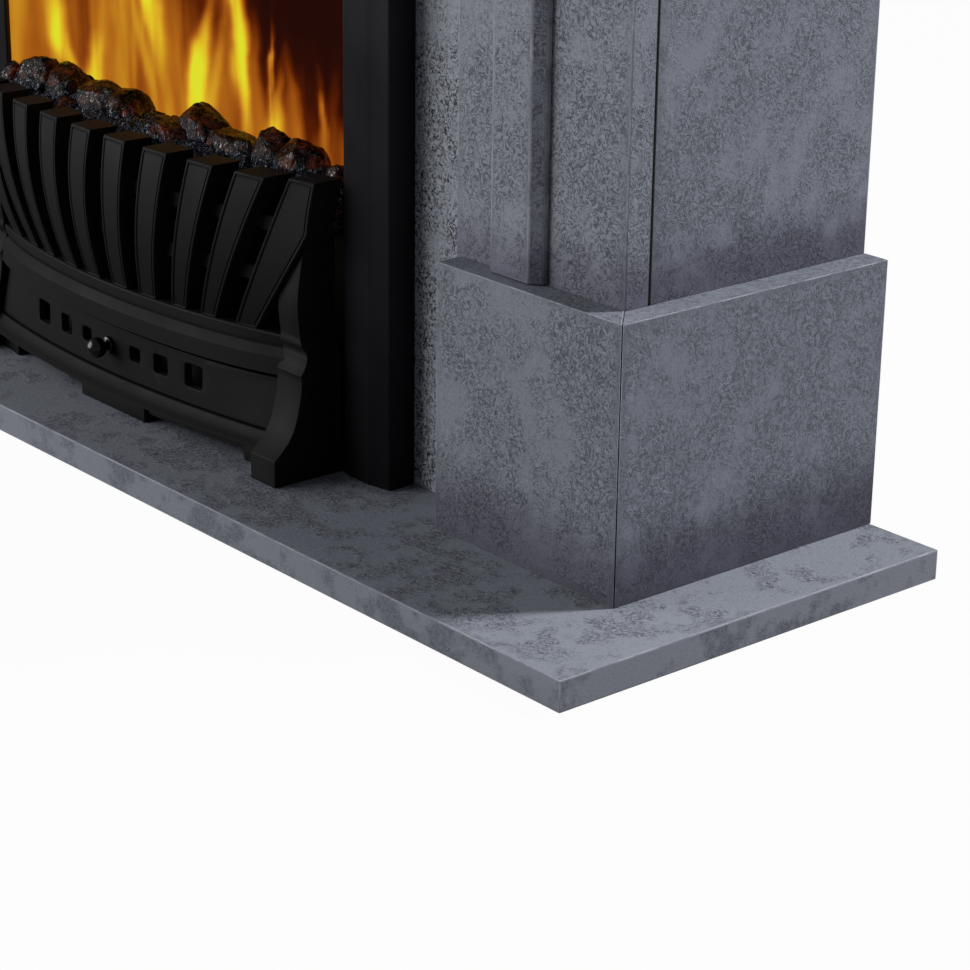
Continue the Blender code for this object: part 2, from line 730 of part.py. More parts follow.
def make_fret(black):
    """Bowed casting: end posts, beams, sill, ten bars and two cross rails in one body"""
    reach = POST_INNER + POST_LAP
    spans = stations_across(reach, BOW_STEPS)
    face = BASKET_FRONT + BAR_BELLY
    back = face + BEAM_DEPTH
    upper = [(face + y, SLAB_THICK + rise) for y, rise in UPPER_BEAM]
    fret = prism("fret", upper, "x", -reach, reach)
    bend(fret, spans)
    lower = [(face + y, SLAB_THICK + rise) for y, rise in LOWER_BEAM]
    beam = prism("fret lower beam", lower, "x", -reach, reach, FRET_PIECES)
    bend(beam, spans)
    feet = ((-reach, -SKIRT_FOOT_X), (-CENTRE_FOOT_HALF, CENTRE_FOOT_HALF), (SKIRT_FOOT_X, reach))
    for n, (low, high) in enumerate(feet):
        foot = block("fret foot %d" % n, (low, high), (face + SKIRT_SETBACK, back),
                     (FLOOR, SLAB_THICK + SKIRT_ARCH * 2), FRET_PIECES)
        bend(foot, [x for x in spans if low < x < high])
    for label, side in SIDES:
        low, high = side_span(side, POST_INNER, FRET_HALF)
        prism("fret post " + label, post_outline(), "x", low, high, FRET_PIECES)
        for number, edges in enumerate(BARS, 1):
            make_bar(number, side, edges)
    for n, top in enumerate(RAIL_TOPS):
        front = basket_front(0, top) + RAIL_SETBACK
        rail = block("fret rail %d" % n, (-reach, reach), (front, front + RAIL_DEPTH),
                     (SLAB_THICK + top - RAIL_HEIGHT, SLAB_THICK + top), FRET_PIECES)
        bend(rail, spans)
    join_group(fret, FRET_PIECES)
    give(fret, black)


def pan_face(x, rise):
    return BASKET_FRONT + BAR_BELLY - BAND_PROUD + PAN_RECESS + bow(x, rise)


def make_ash_pan(black, gloss, zinc):
    """Sliding ash pan: windowed front, ball knob with its nut, tray and the runners it lies on"""
    half = POST_INNER - RUNNING * 2
    low, high = PAN_FOOT + PAN_GROOVE, PAN_TOP - PAN_GROOVE
    face = pan_face(0, low)
    front = block("ash_pan_front", (-half, half), (face, face + PAN_FRONT_THICK),
                  (SLAB_THICK + low, SLAB_THICK + high))
    bend(front, stations_across(half, BOW_STEPS))
    for label, side in SIDES:
        for n, (x, width, height) in enumerate(PAN_WINDOWS):
            middle = SLAB_THICK + PAN_WINDOW_RISE
            window = block("pan window %s %d" % (label, n), (side * x - width / 2, side * x + width / 2),
                           (face - PAN_FRONT_THICK, face + PAN_FRONT_THICK * 4),
                           (middle - height / 2, middle + height / 2))
            cut(front, window)
    level = SLAB_THICK + PAN_WINDOW_RISE
    cut(front, rod("knob hole", "y", (0, level), KNOB_SHANK_RADIUS + TOUCH,
                   face - KNOB_RADIUS, face + KNOB_STAND))
    give(front, black)

    angles = [math.radians(a) for a in range(0, KNOB_LAST_ANGLE, KNOB_STEP_ANGLE)]
    ring = [(KNOB_RADIUS * math.sin(a), KNOB_STAND + KNOB_RADIUS * math.cos(a)) for a in angles]
    shank = PAN_FRONT_THICK + KNOB_NUT_THICK + TOUCH * 3
    profile = ring + [(KNOB_NECK_RADIUS, KNOB_FLANGE_THICK), (KNOB_FLANGE_RADIUS - ARRIS, KNOB_FLANGE_THICK),
                      (KNOB_FLANGE_RADIUS, KNOB_FLANGE_THICK - ARRIS), (KNOB_FLANGE_RADIUS, 0),
                      (KNOB_SHANK_RADIUS, 0), (KNOB_SHANK_RADIUS, -shank), (0, -shank)]
    knob = turned("ash_pan_knob", profile, (0, face - TOUCH, level), (math.pi / 2, 0, 0))
    give(knob, gloss)
    nut_face = face + PAN_FRONT_THICK + TOUCH
    nut = rod("knob_nut", "y", (0, level), KNOB_NUT_RADIUS, nut_face, nut_face + KNOB_NUT_THICK, sides=6)
    cut(nut, rod("nut bore", "y", (0, level), KNOB_SHANK_RADIUS + TOUCH, nut_face - KNOB_NUT_THICK,
                 nut_face + KNOB_NUT_THICK * 2))
    give(nut, zinc)

    tray_half = TRAY_WIDTH / 2
    tray_front = face + PAN_FRONT_THICK + bow(tray_half, low + TRAY_HEIGHT) + TOUCH
    floor = SLAB_THICK + low
    tray = block("ash_pan_tray", (-tray_half, tray_half), (tray_front, tray_front + TRAY_LENGTH),
                 (floor, floor + TRAY_HEIGHT))
    inner = tray_half - TRAY_SHEET
    cut(tray, block("tray hollow", (-inner, inner),
                    (tray_front + TRAY_SHEET, tray_front + TRAY_LENGTH - TRAY_SHEET),
                    (floor + TRAY_SHEET, floor + TRAY_HEIGHT * 2)))
    give(tray, black)

    ledge_top = floor - RUNNING
    base = FLOOR + CASING_SHEET + TOUCH
    for label, side in SIDES:
        web = tray_half + RUNNING
        out = web + RUNNER_SHEET
        outline = [(web, base), (out + RUNNER_FOOT, base), (out + RUNNER_FOOT, base + RUNNER_SHEET),
                   (out, base + RUNNER_SHEET), (out, floor + TRAY_HEIGHT), (web, floor + TRAY_HEIGHT),
                   (web, ledge_top), (web - RUNNER_LEDGE, ledge_top),
                   (web - RUNNER_LEDGE, ledge_top - RUNNER_SHEET), (web, ledge_top - RUNNER_SHEET)]
        runner = prism("pan_runner_" + label, [(side * x, z) for x, z in outline], "y",
                       CASING_FRONT + TOUCH, tray_front + TRAY_LENGTH)
        give(runner, zinc)


def shelf_outline():
    """Plan of the ember shelf inside the casing"""
    half = CASING_IN - TOUCH
    return (-half, half), (CASING_FRONT + TOUCH, SHELF_REAR)


def make_ember_shelf(black, board):
    x, y = shelf_outline()
    shelf = block("ember_shelf", x, y, (SHELF_Z, SHELF_Z + BED_SHELF_SHEET))
    middle = CASING_FRONT + LAMP_STRIP_WIDTH / 2 + BED_BACK_GAP / 2
    window = BED_WINDOW_WIDTH / 2
    cut(shelf, block("lamp window", (-BED_WINDOW_LENGTH / 2, BED_WINDOW_LENGTH / 2),
                     (middle - window, middle + window),
                     (SHELF_Z - BED_SHELF_SHEET, SHELF_Z + BED_SHELF_SHEET * 2)))
    give(shelf, black)
    top = SHELF_Z - TOUCH
    lamps = block("lamp_strip", (-LAMP_STRIP_LENGTH / 2, LAMP_STRIP_LENGTH / 2),
                  (middle - LAMP_STRIP_WIDTH / 2, middle + LAMP_STRIP_WIDTH / 2),
                  (top - LAMP_STRIP_THICK, top))
    give(lamps, board)


def make_flame_screen(flame):
    """Diffusing screen with raked wings that carry the flame picture to the frame's edge"""
    outer = CASING_IN - TOUCH
    bend_x = outer - SCREEN_WING_X
    rear = SHELF_REAR - TOUCH
    nose = rear - SCREEN_WING_Y
    slant = math.hypot(SCREEN_WING_X, SCREEN_WING_Y)
    inset_x = SCREEN_SHEET * slant / SCREEN_WING_Y
    shift = SCREEN_SHEET * (slant - SCREEN_WING_X) / SCREEN_WING_Y
    face = rear - SCREEN_SHEET
    outline = [(-outer, nose), (-bend_x, rear), (bend_x, rear), (outer, nose), (outer - inset_x, nose),
               (bend_x - shift, face), (-bend_x + shift, face), (-outer + inset_x, nose)]
    foot = SHELF_Z + BED_SHELF_SHEET + TOUCH
    screen = prism("flame_screen", outline, "z", foot, HEAD_FOOT - SCREEN_TOP_GAP)
    give(screen, flame)


def bed_front(x):
    """Front line of the fuel bed, just behind the bars"""
    return basket_front(x, BAR_TOP) + BAR_DEPTH + BED_FRONT_GAP


def leaf_inner(rise):
    """Inner edge of the outermost bar at a height above the slab"""
    low, _, top, _, swell = BARS[-1]
    return bar_edge(low, top, swell, rise)


def make_coal(name, x, y, z, radius, turn):
    lump = bmesh.new()
    place = Matrix.Translation((x, y, z)) @ Matrix.Rotation(turn, 4, "Z")
    place = place @ Matrix.Rotation(turn / 2, 4, "X") @ Matrix.Diagonal((*COAL_STRETCH, 1))
    bmesh.ops.create_icosphere(lump, subdivisions=1, radius=radius, matrix=place)
    mesh_object(name, lump, COALS)


def make_fuel_bed(coal):
    """One moulded bed: a block that follows the basket, with two rows of coal lumps fused on top"""
    floor = SHELF_Z + BED_SHELF_SHEET + TOUCH
    rear = SHELF_REAR - SCREEN_SHEET - BED_BACK_GAP
    neck = leaf_inner(floor - SLAB_THICK) - RUNNING
    wide_front = FRET_BACK + TOUCH
    wide = FRET_HALF - RUNNING
    steps = BED_FRONT_POINTS - 1
    front = [neck * (2 * n / steps - 1) for n in range(BED_FRONT_POINTS)]
    outline = [(x, min(bed_front(x), wide_front)) for x in front]
    outline += [(neck, wide_front), (wide, wide_front), (wide, wide_front + COAL_SINK)]
    outline += [(wide - BED_TAPER, rear), (-wide + BED_TAPER, rear)]
    outline += [(-wide, wide_front + COAL_SINK), (-wide, wide_front), (-neck, wide_front)]
    bed = prism("fuel_bed", outline, "z", floor, floor + BED_BLOCK)
    reach = COAL_STRETCH[0]
    depth = (rear - wide_front) / 2
    for n in range(COALS_ALONG):
        wobble = math.sin(COAL_TURN_STEP * n)
        lift = 0.5 + 0.5 * math.sin(COAL_LIFT_STEP * n)
        share = (n + 0.5) / COALS_ALONG * 2 - 1
        high = floor + BED_BLOCK + (COAL_RISE - COAL_SIZE - BED_BLOCK) * lift
        x = share * (neck - COAL_SIZE * reach) * COALS_ALONG / (COALS_ALONG - 1)
        make_coal("front coal %d" % n, x, bed_front(x) + COAL_SIZE * reach, high, COAL_SIZE, wobble)
        small = min(COAL_SIZE, depth / reach) - COAL_SINK * abs(share)
        x = share * (wide - small * reach) * COALS_ALONG / (COALS_ALONG - 1)
        level = floor + BED_BLOCK + small * (SMALL_COAL_SET - lift / 2)
        make_coal("rear coal %d" % n, x, (rear + wide_front) / 2, level, small, -wobble)
    join_group(bed, COALS)
    give(bed, coal)


def make_head(black, gloss, ivory):
    """Outlet grille and control panel side by side in the head of the opening"""
    inside = CASING_IN - TOUCH
    split = inside - CONTROL_WIDTH
    level = (HEAD_FOOT, OPENING_TOP)
    grille = block("outlet_grille", (-inside, split), (HEAD_FRONT, HEAD_BACK), level)
    row = GRILLE_SLOTS - 1
    first, last = -inside + IMPELLER_MARGIN, split - IMPELLER_MARGIN
    middle = (HEAD_FOOT + OPENING_TOP) / 2
    for n in range(GRILLE_SLOTS):
        x = first + (last - first) * n / row
        cut(grille, block("grille slot %d" % n, (x - GRILLE_SLOT / 2, x + GRILLE_SLOT / 2),
                          (HEAD_FRONT - GRILLE_SLOT, HEAD_BACK + GRILLE_SLOT),
                          (middle - GRILLE_SLOT_HEIGHT / 2, middle + GRILLE_SLOT_HEIGHT / 2)))
    give(grille, black)

    panel = block("control_panel", (split + TOUCH, inside), (HEAD_FRONT, HEAD_BACK), level)
    centre = (split + inside) / 2 - DIAL_RADIUS
    dial_x = centre + DIAL_OFFSET
    hole_w, hole_h = SWITCH_WIDTH / 2 + RUNNING, SWITCH_HEIGHT / 2 + RUNNING
    for n in range(3):
        x = centre + SWITCH_PITCH * (n - 1) - SWITCH_PITCH / 2
        cut(panel, block("switch hole %d" % n, (x - hole_w, x + hole_w),
                         (HEAD_FRONT - SWITCH_DEPTH, HEAD_BACK + SWITCH_DEPTH),
                         (middle - hole_h, middle + hole_h)))
        make_switch(n + 1, x, middle, gloss)
    cut(panel, rod("dial hole", "y", (dial_x, middle), DIAL_SHANK + RUNNING, HEAD_FRONT - DIAL_LENGTH,
                   HEAD_BACK + DIAL_LENGTH))
    give(panel, black)

    body_face = HEAD_BACK + TOUCH
    body = rod("thermostat_body", "y", (dial_x, middle), THERMOSTAT_RADIUS,
               body_face, body_face + THERMOSTAT_LENGTH)
    cut(body, rod("thermostat bore", "y", (dial_x, middle), DIAL_SHANK + RUNNING, HEAD_FRONT,
                  body_face + SWITCH_DEPTH))
    give(body, ivory)
    front = HEAD_FRONT - RUNNING
    grip = DIAL_LENGTH
    profile = [(0, grip), (DIAL_RADIUS - DIAL_ARRIS, grip), (DIAL_RADIUS, grip - DIAL_ARRIS),
               (DIAL_RADIUS, 0), (DIAL_SHANK, 0), (DIAL_SHANK, -SWITCH_DEPTH), (0, -SWITCH_DEPTH)]
    dial = turned("thermostat_knob", profile, (dial_x, front, middle), (math.pi / 2, 0, 0))
    pointer = block("dial pointer", (dial_x - DIAL_GROOVE / 2, dial_x + DIAL_GROOVE / 2),
                    (front - grip - DIAL_GROOVE, front - grip + DIAL_GROOVE / 2),
                    (middle + DIAL_GROOVE, middle + DIAL_RADIUS * 2))
    cut(dial, pointer)
    give(dial, gloss)


def make_switch(number, x, level, gloss):
    """Rocker: a shallow V face that tilts about a cross axis behind the panel"""
    half = SWITCH_HEIGHT / 2
    pressed = HEAD_FRONT - SWITCH_TOP_PROUD
    back = HEAD_BACK + SWITCH_DEPTH / 2
    outline = [(pressed, half), (pressed + SWITCH_VALLEY, 0.0), (HEAD_FRONT - SWITCH_CROWN, -half),
               (back, -half / 2), (back, half / 2)]
    rocker = prism("rocker_switch_%d" % number, outline, "x", -SWITCH_WIDTH / 2, SWITCH_WIDTH / 2)
    settle(rocker)
    rocker.data.transform(Matrix.Translation((0, -HEAD_BACK, 0)))
    rocker.location = (x, HEAD_BACK, level)
    give(rocker, gloss)


def make_heater(steel, black, coil):
    """Fan heater in the head: housing, tangential impeller, its bush and motor, and a finned element"""
    inside = CASING_IN - TOUCH
    left, right = -inside, inside - CONTROL_WIDTH
    front, back = HEAD_BACK + TOUCH, HEAD_BACK + TOUCH + HEATER_DEPTH
    foot, top = HEAD_FOOT, CASING_TOP - CASING_SHEET - TOUCH
    housing = block("heater_housing", (left, right), (front, back), (foot, top))
    skin = HEATER_SHEET
    cut(housing, block("heater hollow", (left + skin, right - skin), (front - skin, back - skin),
                       (foot + skin, top - skin)))
    level = (foot + top) / 2
    intake = IMPELLER_RADIUS / 2
    cut(housing, block("heater intake", (left + IMPELLER_MARGIN, right - IMPELLER_MARGIN),
                       (back - skin * 2, back + skin), (level - intake, level + intake)))
    give(housing, steel)

    axle_y = back - skin - IMPELLER_RADIUS - HEAD_CLEARANCE
    bush_left = left + skin + TOUCH
    bush = rod("impeller_bush", "x", (axle_y, level), BUSH_RADIUS, bush_left, bush_left + BUSH_LENGTH)
    cut(bush, rod("impeller bush bore", "x", (axle_y, level), SHAFT_RADIUS + SPIN_FIT,
                  bush_left - BUSH_LENGTH, bush_left + BUSH_LENGTH * 2))
    give(bush, black)
    motor_end = right - skin - TOUCH
    motor = rod("impeller_motor", "x", (axle_y, level), FAN_MOTOR_RADIUS,
                motor_end - FAN_MOTOR_LENGTH, motor_end)
    cut(motor, rod("impeller motor bore", "x", (axle_y, level), SHAFT_RADIUS + SPIN_FIT,
                   motor_end - FAN_MOTOR_LENGTH * 2, motor_end - FAN_MOTOR_LENGTH / 2))
    give(motor, steel)
    make_impeller(axle_y, level, bush_left + TOUCH, motor_end - FAN_MOTOR_LENGTH / 2 - RUNNING, steel)

    element_y = front + ELEMENT_DEPTH * 2
    make_element(left + skin + TOUCH, right - skin - TOUCH, element_y, foot + skin + TOUCH, coil)


def make_impeller(y, z, low, high, steel):
    """Drum fan: axle, two end discs and a ring of blades"""
    axle = rod("impeller", "x", (y, z), SHAFT_RADIUS, low, high)
    group = new_collection("impeller pieces")
    first = low + BUSH_LENGTH + HEAD_CLEARANCE
    last = high - FAN_MOTOR_LENGTH / 2 - HEAD_CLEARANCE
    for n, x in enumerate((first, last - IMPELLER_DISC)):
        rod("impeller disc %d" % n, "x", (y, z), IMPELLER_RADIUS, x, x + IMPELLER_DISC, group)
    depth = IMPELLER_BLADE_DEPTH
    for n in range(IMPELLER_BLADES):
        blade = block("impeller blade %d" % n, (first + IMPELLER_DISC / 2, last - IMPELLER_DISC / 2),
                      (-IMPELLER_BLADE / 2, IMPELLER_BLADE / 2), (-depth / 2, depth / 2), group)
        settle(blade)
        turn = Matrix.Rotation(2 * math.pi * n / IMPELLER_BLADES, 4, "X")
        lean = Matrix.Rotation(math.radians(IMPELLER_BLADE_LEAN), 4, "X")
        lift = Matrix.Translation((0, 0, IMPELLER_BLADE_SET))
        blade.matrix_basis = Matrix.Translation((0, y, z)) @ turn @ lift @ lean
    join_group(axle, group)
    give(axle, steel)


def make_element(low, high, y, foot, coil):
    """Finned heating bar: a comb outline pulled through its depth"""
    pitch = (high - low) / (ELEMENT_FINS + 1)
    fin = pitch * ELEMENT_FIN_SHARE
    spine = foot + ELEMENT_SPINE
    tip = foot + ELEMENT_RISE
    outline = [(low, foot), (high, foot), (high, spine)]
    for n in range(ELEMENT_FINS, 0, -1):
        x = low + pitch * n
        outline += [(x + fin / 2, spine), (x + fin / 2, tip), (x - fin / 2, tip), (x - fin / 2, spine)]
    outline.append((low, spine))
    element = prism("heating_element", outline, "y", y, y + ELEMENT_DEPTH)
    give(element, coil)


def make_flame_drum(steel, black):
    """Spinning reflector behind the screen, its bush on the left wall and its motor on the right"""
    y = SHELF_REAR + DRUM_BEHIND_SCREEN
    z = FLOOR + DRUM_RISE
    wall = CASING_IN - TOUCH
    bush = rod("drum_bush", "x", (y, z), BUSH_RADIUS, -wall, -wall + BUSH_LENGTH)
    cut(bush, rod("drum bush bore", "x", (y, z), SHAFT_RADIUS + SPIN_FIT, -wall - BUSH_LENGTH,
                  -wall + BUSH_LENGTH * 2))
    give(bush, black)
    motor = rod("drum_motor", "x", (y, z), DRUM_MOTOR_RADIUS, wall - DRUM_MOTOR_LENGTH, wall)
    cut(motor, rod("drum motor bore", "x", (y, z), SHAFT_RADIUS + SPIN_FIT, wall - DRUM_MOTOR_LENGTH * 2,
                   wall - DRUM_MOTOR_LENGTH / 2))
    give(motor, steel)
    low, high = -wall + TOUCH, wall - DRUM_MOTOR_LENGTH / 2 - RUNNING
    axle = rod("flame_drum", "x", (y, z), SHAFT_RADIUS, low, high)
    group = new_collection("drum paddles")
    first = low + BUSH_LENGTH + HEAD_CLEARANCE
    last = high - DRUM_MOTOR_LENGTH / 2 - HEAD_CLEARANCE
    pitch = (last - first) / DRUM_PADDLES
    for n in range(DRUM_PADDLES):
        middle = first + pitch * (n + 0.5)
        paddle = block("drum paddle %d" % n, (-DRUM_PADDLE / 2, DRUM_PADDLE / 2),
                       (-DRUM_SHEET / 2, DRUM_SHEET / 2), (-DRUM_RADIUS, DRUM_RADIUS), group)
        settle(paddle)
        turn = Matrix.Rotation(math.radians(DRUM_PADDLE_TURN * n), 4, "X")
        paddle.matrix_basis = Matrix.Translation((middle, y, z)) @ turn
    join_group(axle, group)
    give(axle, steel)


def build():
    stone = paint("stone effect board", (0.47, 0.48, 0.52), 0.75, 0.0)
    timber = paint("softwood", (0.70, 0.56, 0.38), 0.8, 0.0)
    zinc = paint("zinc plated steel", (0.70, 0.71, 0.72), 0.4, 0.9)
    steel = paint("bare steel sheet", (0.62, 0.62, 0.63), 0.4, 0.9)
    black = paint("black enamel", (0.09, 0.09, 0.095), 0.5, 0.0)
    gloss = paint("gloss black plastic", (0.03, 0.03, 0.03), 0.15, 0.0)
    rubber = paint("black rubber", (0.06, 0.06, 0.06), 0.8, 0.0)
    coal = paint("glazed coal", (0.05, 0.05, 0.06), 0.2, 0.0)
    flame = paint("flame screen", (0.75, 0.38, 0.08), 0.5, 0.0)
    board = paint("lamp board", (0.85, 0.85, 0.80), 0.5, 0.0)
    ivory = paint("thermostat plastic", (0.75, 0.72, 0.65), 0.5, 0.0)
    coil = paint("heater ceramic", (0.55, 0.50, 0.45), 0.7, 0.0)
    make_slab(stone)
    make_columns(stone, timber)
    make_strips(stone)
    make_panels(stone)
    make_shelf(stone)
    make_back(timber, zinc)
    make_trim(black)
    make_casing(black)
    make_gland(rubber)
    make_fret(black)
    make_ash_pan(black, gloss, zinc)
    make_ember_shelf(black, board)
    make_flame_screen(flame)
    make_fuel_bed(coal)
    make_head(black, gloss, ivory)
    make_heater(steel, black, coil)
    make_flame_drum(steel, black)


build()
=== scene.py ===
"""Electric fireplace suite: the looks of the mantel, hearth and inset fire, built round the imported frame.

Metres, +Z up, the front towards -Y and +X to the right as one faces the fire, as in the CAD.
"""
import math
import random
from functools import partial

import bmesh
import bpy
from mathutils import Matrix, Vector, noise


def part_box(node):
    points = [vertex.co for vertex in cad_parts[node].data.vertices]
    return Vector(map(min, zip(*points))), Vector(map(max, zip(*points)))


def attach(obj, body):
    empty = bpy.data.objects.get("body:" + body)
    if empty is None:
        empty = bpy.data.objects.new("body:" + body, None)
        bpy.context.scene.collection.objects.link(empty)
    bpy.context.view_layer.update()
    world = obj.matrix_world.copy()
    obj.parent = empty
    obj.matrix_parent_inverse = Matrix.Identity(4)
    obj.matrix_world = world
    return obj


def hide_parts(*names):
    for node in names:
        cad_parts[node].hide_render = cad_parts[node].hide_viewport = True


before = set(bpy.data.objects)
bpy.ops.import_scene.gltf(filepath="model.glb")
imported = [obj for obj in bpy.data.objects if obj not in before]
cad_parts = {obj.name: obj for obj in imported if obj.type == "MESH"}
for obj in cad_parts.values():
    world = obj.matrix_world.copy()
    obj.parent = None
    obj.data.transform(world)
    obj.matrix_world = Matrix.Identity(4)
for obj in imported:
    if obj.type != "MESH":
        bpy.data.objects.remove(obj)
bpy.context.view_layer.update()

MM = 0.001
X, Y, Z = 0, 1, 2

# Boards: their foot on the slab, how far a mitre closes, and the marks of a strip's section
SLAB_TOP = 20.0 * MM
MITRE_CLOSE = 0.2 * MM
RIM_WIDTH = 9 * MM
# Width of the arris band on each face, which the stone coat paints with a highlight
HIGHLIGHT_ARRIS_WIDTH = 0.6 * MM
STRIP_SHOULDER = 3.4 * MM
STRIP_SLOPE = 7.6 * MM
# A face slimmer than the first belongs to an arris; one slimmer than so many rims has no open field
FLAT_LEAST, FIELD_LEAST = 4 * MM, 2.6
PANEL_CLEAR = 8 * MM

# Planes of the inset fire, as in the CAD
TRIM_FRONT = -51.8 * MM
BASKET_FRONT = -110.0 * MM
BASKET_REACH = 58.2 * MM
BAR_FACE = BASKET_FRONT + 6.0 * MM
FRET_BACK = -50.3 * MM
FRET_HALF = 204.8 * MM
POST_INNER = 177.4 * MM
SILL_RISE = 95.0 * MM
BAR_RISE = 202.2 * MM
PAN_FOOT = 30.0 * MM
BOW_FOOT = 0.950
BOW_SILL = 0.670
BOW_TOP = 0.885
BELLY_RISE = 155 * MM
BELLY_REACH = 54 * MM
BELLY_FALL = 7.0 * MM


def linear(code):
    """sRGB hex to a linear colour"""
    channels = [int(code[n:n + 2], 16) / 255 for n in (1, 3, 5)]
    return tuple(((c + 0.055) / 1.055) ** 2.4 if c > 0.04045 else c / 12.92 for c in channels) + (1.0,)


def add(tree, kind, inputs=(), stops=(), **settings):
    """The outputs of a new node, from its settings, its values or links (in the order of its sockets, or by
    their names or numbers) and a ramp's stops"""
    made = tree.nodes.new("ShaderNode" + kind)
    for name, value in settings.items():
        setattr(made, name, value)
    for name, value in (inputs.items() if isinstance(inputs, dict) else enumerate(inputs)):
        socket = made.inputs[name]
        if isinstance(value, bpy.types.NodeSocket):
            tree.links.new(value, socket)
        else:
            socket.default_value = value
    if stops:
        points = made.color_ramp.elements
        while len(points) < len(stops):
            points.new(1.0)
        for point, (place, code) in zip(points, stops):
            point.position = place
            point.color = linear(code)
    return made.outputs


def shown(name, data):
    """An object in the scene"""
    made = bpy.data.objects.new(name, data)
    bpy.context.scene.collection.objects.link(made)
    return made


def emptied(owner):
    """Clear the nodes of a material or world, and give the call that adds to them"""
    owner.use_nodes = True
    owner.node_tree.nodes.clear()
    return partial(add, owner.node_tree)


def new_material(name):
    """Empty material, the call that adds its nodes, and the object's own coordinates"""
    made = bpy.data.materials.new(name)
    put = emptied(made)
    return made, put, put("TexCoord")["Object"]


# Settings of a mix: one colour over another, and one colour multiplied by another
COLOUR = {"data_type": "RGBA"}
TINT = {"data_type": "RGBA", "blend_type": "MULTIPLY"}


def surfaced(made, **sockets):
    """Close a material with its surface's values and links, with _ for the spaces in their names"""
    inputs = {name.replace("_", " "): value for name, value in sockets.items()}
    add(made.node_tree, "OutputMaterial", add(made.node_tree, "BsdfPrincipled", inputs)[:1])
    return made


